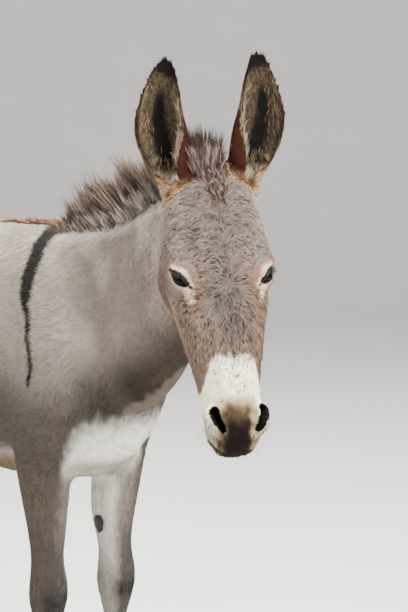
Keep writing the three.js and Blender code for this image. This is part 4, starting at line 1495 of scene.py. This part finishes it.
# ---------------------------------------------------------------- hooves and chestnuts
def hoof_horn(kind, rows, line, name, side):
    """The wall of a hoof, with fine rings that fade out at the ground and below the coat."""
    stations = leg_rows(rows, line, side, STRIDE[kind, side])
    points, faces = loft(stations, along=DOWN, above=FRONT, around=72, rings=44, caps=(0, 0), power=2.3)
    height = points[:, 2]
    rings = 0.35 * np.sin(2 * np.pi * height / 7.5) * ramp(height, 2, 8) * ramp(height, HOOF_TOP, 54)
    points[:, :2] += unit(points[:, :2] - stations[-1, :2]) * rings[:, None]
    points[:, 2] = np.maximum(points[:, 2], 0)
    shade = tone(74, 66, 60) + 0 * points
    bands = (0.5 + 0.5 * np.sin(2 * np.pi * height / 15))[:, None]
    shade = shade + bands * (tone(92, 82, 73) - shade) * 0.8
    shade = shade + ramp(height, 48, HOOF_TOP)[:, None] * (tone(52, 45, 42) - shade)
    piece(f"horn_{kind}_{name}", points, faces[:, ::-1], horn_finish, [f"hoof_{kind}_{name}"], shade)


def chestnut(name, side):
    """A low cracked dome of bare horn on the inner side of the foreleg, laid on the skin."""
    rings, around = 12, 40
    v, u = np.meshgrid(np.linspace(0, 1, rings), 2 * np.pi * np.arange(around) / around, indexing="ij")
    rim = 1 + 0.10 * np.sin(3 * u + 1) + 0.06 * np.sin(7 * u)
    dy = (20 * v * rim * np.cos(u) + 12).ravel()
    z = (18 * v * rim * np.sin(u) + 441).ravel()
    _, shift, half, _, back_reach = at_height(FORELEG, z)
    inset = np.sqrt(np.clip(1 - ((dy + shift) / back_reach) ** 2, 0.05, 1))
    dome = (3.0 * (1 - v**4) + 2.5).ravel()
    points = np.stack([side * (FORELEG_LINE[0] - half * inset - dome), FORELEG_LINE[1] + dy, z], 1)
    shade = np.clip(tone(24, 19, 17) * (1 + 0.25 * speckle(points, 6, 41))[:, None], 0, 1)
    faces = grid_quads(rings, around)[:, :: (1 if side > 0 else -1)]
    piece(f"chestnut_{name}", points, faces, chestnut_finish, colours=shade)


for kind, rows, line in (("fore", FORE_HOOF, FORELEG_LINE), ("hind", HIND_HOOF, HINDLEG_LINE)):
    for name, side in SIDES:
        hoof_horn(kind, rows, line, name, side)
for name, side in SIDES:
    chestnut(name, side)


# ---------------------------------------------------------------- mane, forelock and tail
# Each kind of long hair has a dark and a pale tone, both at the root and at the tip
MANE_TONES = (tone(44, 33, 27), tone(94, 76, 65)), (tone(104, 89, 78), tone(148, 131, 117))
MANE_FOOT_TONES = (tone(104, 92, 81), tone(66, 53, 45)), (tone(142, 131, 119), tone(150, 137, 125))
FORELOCK_TONES = (tone(50, 37, 32), tone(92, 76, 70)), (tone(104, 88, 80), tone(160, 144, 134))
BROW_TONES = (tone(60, 46, 37), tone(92, 77, 66)), (tone(96, 82, 72), tone(138, 124, 112))
WITHERS_TONES = (tone(66, 40, 28), tone(122, 84, 62)), (tone(124, 92, 70), tone(166, 136, 110))
TAIL_TONES = (tone(46, 35, 31), tone(28, 22, 20)), (tone(106, 90, 78), tone(66, 54, 47))


def locks(
    name, roots, ways, lengths, per_lock, spread, tones, pale_share, stands_for=(), width=2.0, cuts=3,
    gather=0.75, deepen=1.0,
):
    """Stiff hair in locks: the blades of a lock start apart and draw together towards its tip."""
    count = len(roots)
    lock = np.repeat(np.arange(count), per_lock)
    n = len(lock)
    offset = rng.normal(0, 1, (n, 3)) * spread
    way = ways[lock]
    offset -= (offset * way).sum(1)[:, None] * way
    root = roots[lock] + offset
    length = (lengths[lock] * rng.uniform(0.62, 1.06, n))[:, None]
    tip = roots[lock] + way * length + offset * (1 - gather) + rng.normal(0, 1, (n, 3)) * spread * 0.25
    way = unit(tip - root)
    across = unit(np.cross(way, rng.normal(0, 1, (n, 3))))
    length, widths = np.linalg.norm(tip - root, axis=1), width * rng.uniform(0.7, 1.3, n)
    lift, curl = rng.normal(0, 0.03, n), rng.normal(0, 0.05, n)
    hair = blades(root, across, way, length, widths, lift, curl, cuts)
    shade = rng.random(count)[lock][:, None] + rng.normal(0, 0.18, (n, 1))
    light = shade < np.broadcast_to(pale_share, count)[lock][:, None]
    dark, pale = tones
    deep = np.broadcast_to(deepen, count)[lock][:, None]  # a share of its tone for each lock
    ends = []
    for k in (0, 1):
        ends.append(np.clip(np.where(light, pale[k], dark[k]) * rng.uniform(0.8, 1.2, (n, 1)) * deep, 0, 1))
    return hair_piece(name, hair, *ends, root, across, mane_finish, "dark_hair", stands_for)


def along_mane(t):
    """Places on the crest at shares t from the withers to between the ears, with the way along it, the
    way to its side and the way that its hair stands."""
    rows = catmull(MANE, t)
    path = unit(catmull(MANE, t + 0.01)[:, :3] - catmull(MANE, t - 0.01)[:, :3])
    side = unit(np.cross(UP, path))
    rise = np.cross(path, side)
    return rows, path, side, rise


def mane_hair(count):
    """The standing mane. It leans back most at the withers and is darkest near the head."""
    t = 0.03 + rng.random(count) * 0.9
    rows, path, side, rise = along_mane(t)
    sideways = rng.uniform(-1, 1, count)
    root = rows[:, :3] + side * (sideways * rows[:, 3] * 0.9)[:, None] - rise * 6
    lean = np.interp(t, [0, 0.15, 0.5, 1], [0.85, 0.55, 0.34, 0.18]) + 0.25 * np.sin(t * 40)
    back = path * (lean + rng.normal(0, 0.08, count))[:, None]
    way = unit(rise - back + side * (0.18 * sideways + rng.normal(0, 0.06, count))[:, None])
    height = rows[:, 4] * rng.uniform(0.72, 1.08, count) * (1 + 0.07 * np.sin(t * 55))
    pale_share, deepen = 0.3 - 0.35 * ramp(t, 0.62, 0.85), 1 - 0.6 * ramp(t, 0.5, 0.64)
    locks("mane_hair", root, way, height, 20, 3.4, MANE_TONES, pale_share, ["mane"], deepen=deepen)


def mane_foot(count):
    """Short locks that lead over from the mane to the neck."""
    t = rng.random(count) * 0.97
    rows, path, side, rise = along_mane(t)
    sideways = np.sign(rng.uniform(-1, 1, count))
    root = rows[:, :3] + side * (sideways * (rows[:, 3] + rng.uniform(0, 16, count)))[:, None]
    root -= rise * rng.uniform(0, 24, count)[:, None]
    way = unit(rise - path * rng.normal(0.45, 0.12, count)[:, None] + side * (0.30 * sideways)[:, None])
    height = rng.uniform(18, 46, count)
    pale_share, deepen = 0.4 - 0.5 * ramp(t, 0.55, 0.85), 1 - 0.55 * ramp(t, 0.5, 0.64)
    locks("mane_foot", root, way, height, 12, 3.4, MANE_FOOT_TONES, pale_share, width=1.4, deepen=deepen)


def forelock_hair(count):
    """The tuft between the ears."""
    t = 0.92 + 0.08 * rng.random(count)
    rows, path, side, rise = along_mane(t)
    root = rows[:, :3] + side * (rng.uniform(-1, 1, count) * 19)[:, None]
    root += path * rng.uniform(-24, 4, count)[:, None] - rise * 5
    way = unit(
        rise + path * rng.normal(-0.05, 0.18, count)[:, None] + side * rng.normal(0, 0.24, count)[:, None]
    )
    locks(
        "forelock_hair", root, way, rng.uniform(44, 84, count), 22, 3.2, FORELOCK_TONES, 0.28, ["mane_tuft"]
    )


def brow_hair(count):
    """The forelock's foot, which hangs forward over the brow."""
    down = rng.random(count)
    base = [rng.normal(0, 13, count) * (1 - 0.6 * down), -9 + 22 * (1 - down) ** 2, 36 - 76 * down]
    gone = np.array([0.0, -0.22, -1.0]) + rng.normal(0, 0.3, (count, 3)) * [1, 0.4, 0.3]
    root, way = from_head(np.stack(base, 1)), unit(gone @ HEAD_AXES.T)
    locks("brow_hair", root, way, rng.uniform(9, 19, count), 14, 2.4, BROW_TONES, 0.4, width=1.0)


def withers_fringe(count):
    """The reddish fringe on the withers."""
    high = skin_points[(skin_points[:, 2] > 1030) & (np.abs(skin_points[:, 0]) < 22)]
    wanted = np.stack([rng.normal(0, 6, count), 190 - 260 * rng.random(count) ** 0.7], 1)
    root = high[((wanted[:, None] - high[None, :, :2]) ** 2).sum(-1).argmin(1)] - [0, 0, 1.5]
    aside = 0.012 * root[:, 0] + rng.normal(0, 0.08, count)
    way = unit(np.stack([aside, 1 + 0 * aside, rng.normal(0.42, 0.12, count)], 1))
    tall = np.interp(root[:, 1], [-70, -30, 60, 190], [34, 34, 27, 15]) * rng.uniform(0.7, 1.2, count)
    locks("withers_fringe", root, way, tall, 14, 2.2, WITHERS_TONES, 0.35, width=1.4)


def tail_hair(count):
    """The switch of the tail."""
    angle = rng.uniform(0, 2 * np.pi, count)
    z = 640 - 90 * rng.uniform(0, 1, count)
    root = np.stack([8 * np.cos(angle), 853 + 8 * np.sin(angle), z], 1)
    end = [rng.normal(0, 11, count), 849 + rng.normal(0, 11, count), 350 + 60 * rng.random(count) ** 2]
    way = np.stack(end, 1) - root
    length = np.linalg.norm(way, axis=1)
    locks(
        "tail_hair", root, unit(way), length, 26, 3.2, TAIL_TONES, 0.25, ["tail_switch"], cuts=4,
        gather=0.45,
    )


mane_hair(620)
mane_foot(640)
forelock_hair(130)
brow_hair(130)
withers_fringe(420)
tail_hair(150)


# ---------------------------------------------------------------- hair in the ears, and whiskers
WHISKER_REACH = 282


def ear_hair(name, side, count):
    """Long pale and dark hair that grows from both rims and from the foot of the cup, across the
    opening and up."""
    root, axes = ear_frame(side)
    kind = rng.random(count)
    z = np.where(kind < 0.8, rng.uniform(46, 190, count), rng.uniform(16, 60, count))
    share = np.interp(z, [row[0] for row in EAR], np.linspace(0, 1, len(EAR)))
    _, out, half, front_reach, back_reach = catmull(EAR, share).T
    nearer, outer = at_height(EAR_EDGES, z)
    from_inner = kind < 0.5
    angle = np.where(from_inner, -nearer + rng.exponential(9, count), outer - rng.exponential(12, count))
    angle = np.radians(np.where(kind < 0.8, angle, rng.uniform(-100, 90, count)))
    deep = np.where(np.cos(angle) > 0, back_reach, front_reach) - EAR_WALL - 0.3
    local = np.stack([side * (out + (half - EAR_WALL) * np.sin(angle)), deep * np.cos(angle), z], 1)
    inward = unit(np.stack([-side * np.sin(angle) / half, -np.cos(angle) / np.abs(deep), 0 * z], 1))
    way = unit(inward * rng.uniform(0.35, 0.9, count)[:, None] + UP + rng.normal(0, 0.12, (count, 3)))
    over = unit(inward - (inward * way).sum(1)[:, None] * way) @ axes.T
    length = np.where(from_inner, 26, 17) * rng.uniform(0.6, 1.2, count) * ramp(z, 205, 150).clip(0.4, 1)
    width = 0.65 * rng.uniform(0.6, 1.2, count)
    lift, curl = rng.normal(0, 0.1, count), rng.normal(0, 0.1, count)
    base = local @ axes.T + root
    hair = blades(base, over, way @ axes.T, length, width, lift, curl, 3)
    light = rng.random((count, 1)) < 0.55
    low = np.where(light, tone(112, 98, 76), tone(22, 17, 13))
    high = np.where(light, tone(178, 162, 136), tone(54, 45, 35))
    hair_piece(f"ear_hair_{name}", hair, low, high, base, over, mane_finish, "ear")


def whiskers(count):
    """Whiskers at the sides of the muzzle. None reaches further to the right than WHISKER_REACH."""
    h = in_head(middle)
    pick = np.flatnonzero(zones["coat_muzzle"] & (h[:, 2] < -395) & ~bare & (np.abs(h[:, 0]) > 27))
    pick = rng.choice(pick, count)
    root, normal = middle[pick], flat[pick]
    normal = unit(normal * np.sign((normal * skin_normals[skin_triangles[pick, 0]]).sum(1))[:, None])
    way = unit(normal + 0.55 * lie_of_coat(root, normal) + rng.normal(0, 0.15, (count, 3)))
    over = unit(np.cross(way, rng.normal(0, 1, (count, 3))))
    pale = np.tile(tone(190, 184, 172), (count, 1)) * np.where(rng.random((count, 1)) < 0.3, 0.15, 1)
    room = np.maximum((root[:, 0] + WHISKER_REACH) / np.maximum(-way[:, 0], 0.05), 6)
    length = np.minimum(rng.uniform(16, 36, count), room)
    lift, curl = rng.normal(0, 0.1, count), rng.normal(0, 0.15, count)
    hair = blades(root, over, way, length, np.full(count, 0.36), lift, curl, 5)
    hair_piece("whiskers", hair, pale, pale, root, over, mane_finish, "pale_nose")


for name, side in SIDES:
    ear_hair(name, side, 2600)
whiskers(120)


# ---------------------------------------------------------------- stage, light and camera
DIAGONAL = 0.7071  # the share of each ground axis in a way that lies halfway between them
CAMERA_PLACE, CAMERA_PITCH = (-2.7419, -3.2453, 1.39), 6.76
FOCAL_LENGTH, PICTURE_HEIGHT, SENSOR_HEIGHT = 2100, 612, 36.0  # the first two in pixels
AMBIENT_COLOUR, AMBIENT_STRENGTH = (1.0, 0.985, 0.96, 1), 0.45
# Name, place, aim, size, power and colour
SOFTBOXES = [
    ("key_softbox", (0.2, -3.9, 3.7), (-0.1, -0.4, 0.9), 1.6, 560, (1.0, 0.98, 0.95)),
    ("fill_softbox", (-3.6, -1.6, 2.2), (0, 0, 0.8), 2.6, 70, (0.98, 0.99, 1.0)),
    ("top_softbox", (0.0, 0.2, 4.2), (0, 0, 0.8), 3.0, 560, (1, 1, 1)),
]


def put_in_scene(name, data):
    thing = bpy.data.objects.new(name, data)
    bpy.context.scene.collection.objects.link(thing)
    return thing


def floor_surface():
    """A floor that curves up into a backdrop behind the donkey: a straight run, then a quarter round,
    then a wall, carried sideways, in metres."""
    along, across = 60, 20
    s = np.linspace(0, 1, along)
    bend = np.clip((s - 0.6) / 0.25, 0, 1) * np.pi / 2
    run = np.where(s < 0.6, s / 0.6 * 16 - 9, 7 + 3 * np.sin(bend))
    rise = np.where(s < 0.6, 0, 3 * (1 - np.cos(bend))) + np.clip((s - 0.85) / 0.15, 0, 1) * 4
    v = np.linspace(-12, 12, across)
    ahead, aside = np.array([DIAGONAL, DIAGONAL, 0]), np.array([DIAGONAL, -DIAGONAL, 0])
    points = run[:, None, None] * ahead + v[None, :, None] * aside + rise[:, None, None] * UP
    return points.reshape(-1, 3), grid_quads(along, across, closed=False)[:, ::-1]


def plaster():
    """Pale plaster, a little uneven in tone."""
    made, tree, shader = material("pale_plaster", Roughness=0.9)
    noise = add(tree, "ShaderNodeTexNoise", Scale=3.0, Detail=4.0)
    coords = add(tree, "ShaderNodeTexCoord")
    tree.links.new(coords.outputs["Object"], noise.inputs["Vector"])
    blend = add(tree, "ShaderNodeValToRGB")
    blend.color_ramp.elements[0].color = (*tone(228, 227, 224), 1)
    blend.color_ramp.elements[1].color = (*tone(236, 235, 232), 1)
    tree.links.new(noise.outputs["Fac"], blend.inputs["Fac"])
    tree.links.new(blend.outputs["Color"], shader.inputs["Base Color"])
    return made


def softbox(name, place, aim, size, power, colour):
    """A square lamp that shines from a place to an aim."""
    light = bpy.data.lights.new(name, "AREA")
    light.shape, light.size, light.energy, light.color = "SQUARE", size, power, colour
    lamp = put_in_scene(name, light)
    lamp.location = place
    lamp.rotation_euler = (Vector(aim) - Vector(place)).to_track_quat("-Z", "Y").to_euler()


def set_camera():
    """The view from in front of the donkey and to its right, looking a little down."""
    lens = bpy.data.cameras.new("camera")
    lens.sensor_fit, lens.sensor_height = "VERTICAL", SENSOR_HEIGHT
    lens.lens = FOCAL_LENGTH / PICTURE_HEIGHT * SENSOR_HEIGHT
    lens.clip_end = 60
    camera = put_in_scene("camera", lens)
    pitch = np.radians(CAMERA_PITCH)
    aim = Vector((DIAGONAL * np.cos(pitch), DIAGONAL * np.cos(pitch), -np.sin(pitch)))
    camera.location = CAMERA_PLACE
    camera.rotation_euler = aim.to_track_quat("-Z", "Y").to_euler()
    bpy.context.scene.camera = camera


floor = put_in_scene("studio_floor", mesh_of("studio_floor", *floor_surface()))
floor.data.materials.append(plaster())
world = bpy.data.worlds.new("soft_studio")
world.use_nodes = True
background = world.node_tree.nodes["Background"]
background.inputs["Color"].default_value = AMBIENT_COLOUR
background.inputs["Strength"].default_value = AMBIENT_STRENGTH
bpy.context.scene.world = world
for values in SOFTBOXES:
    softbox(*values)
set_camera()
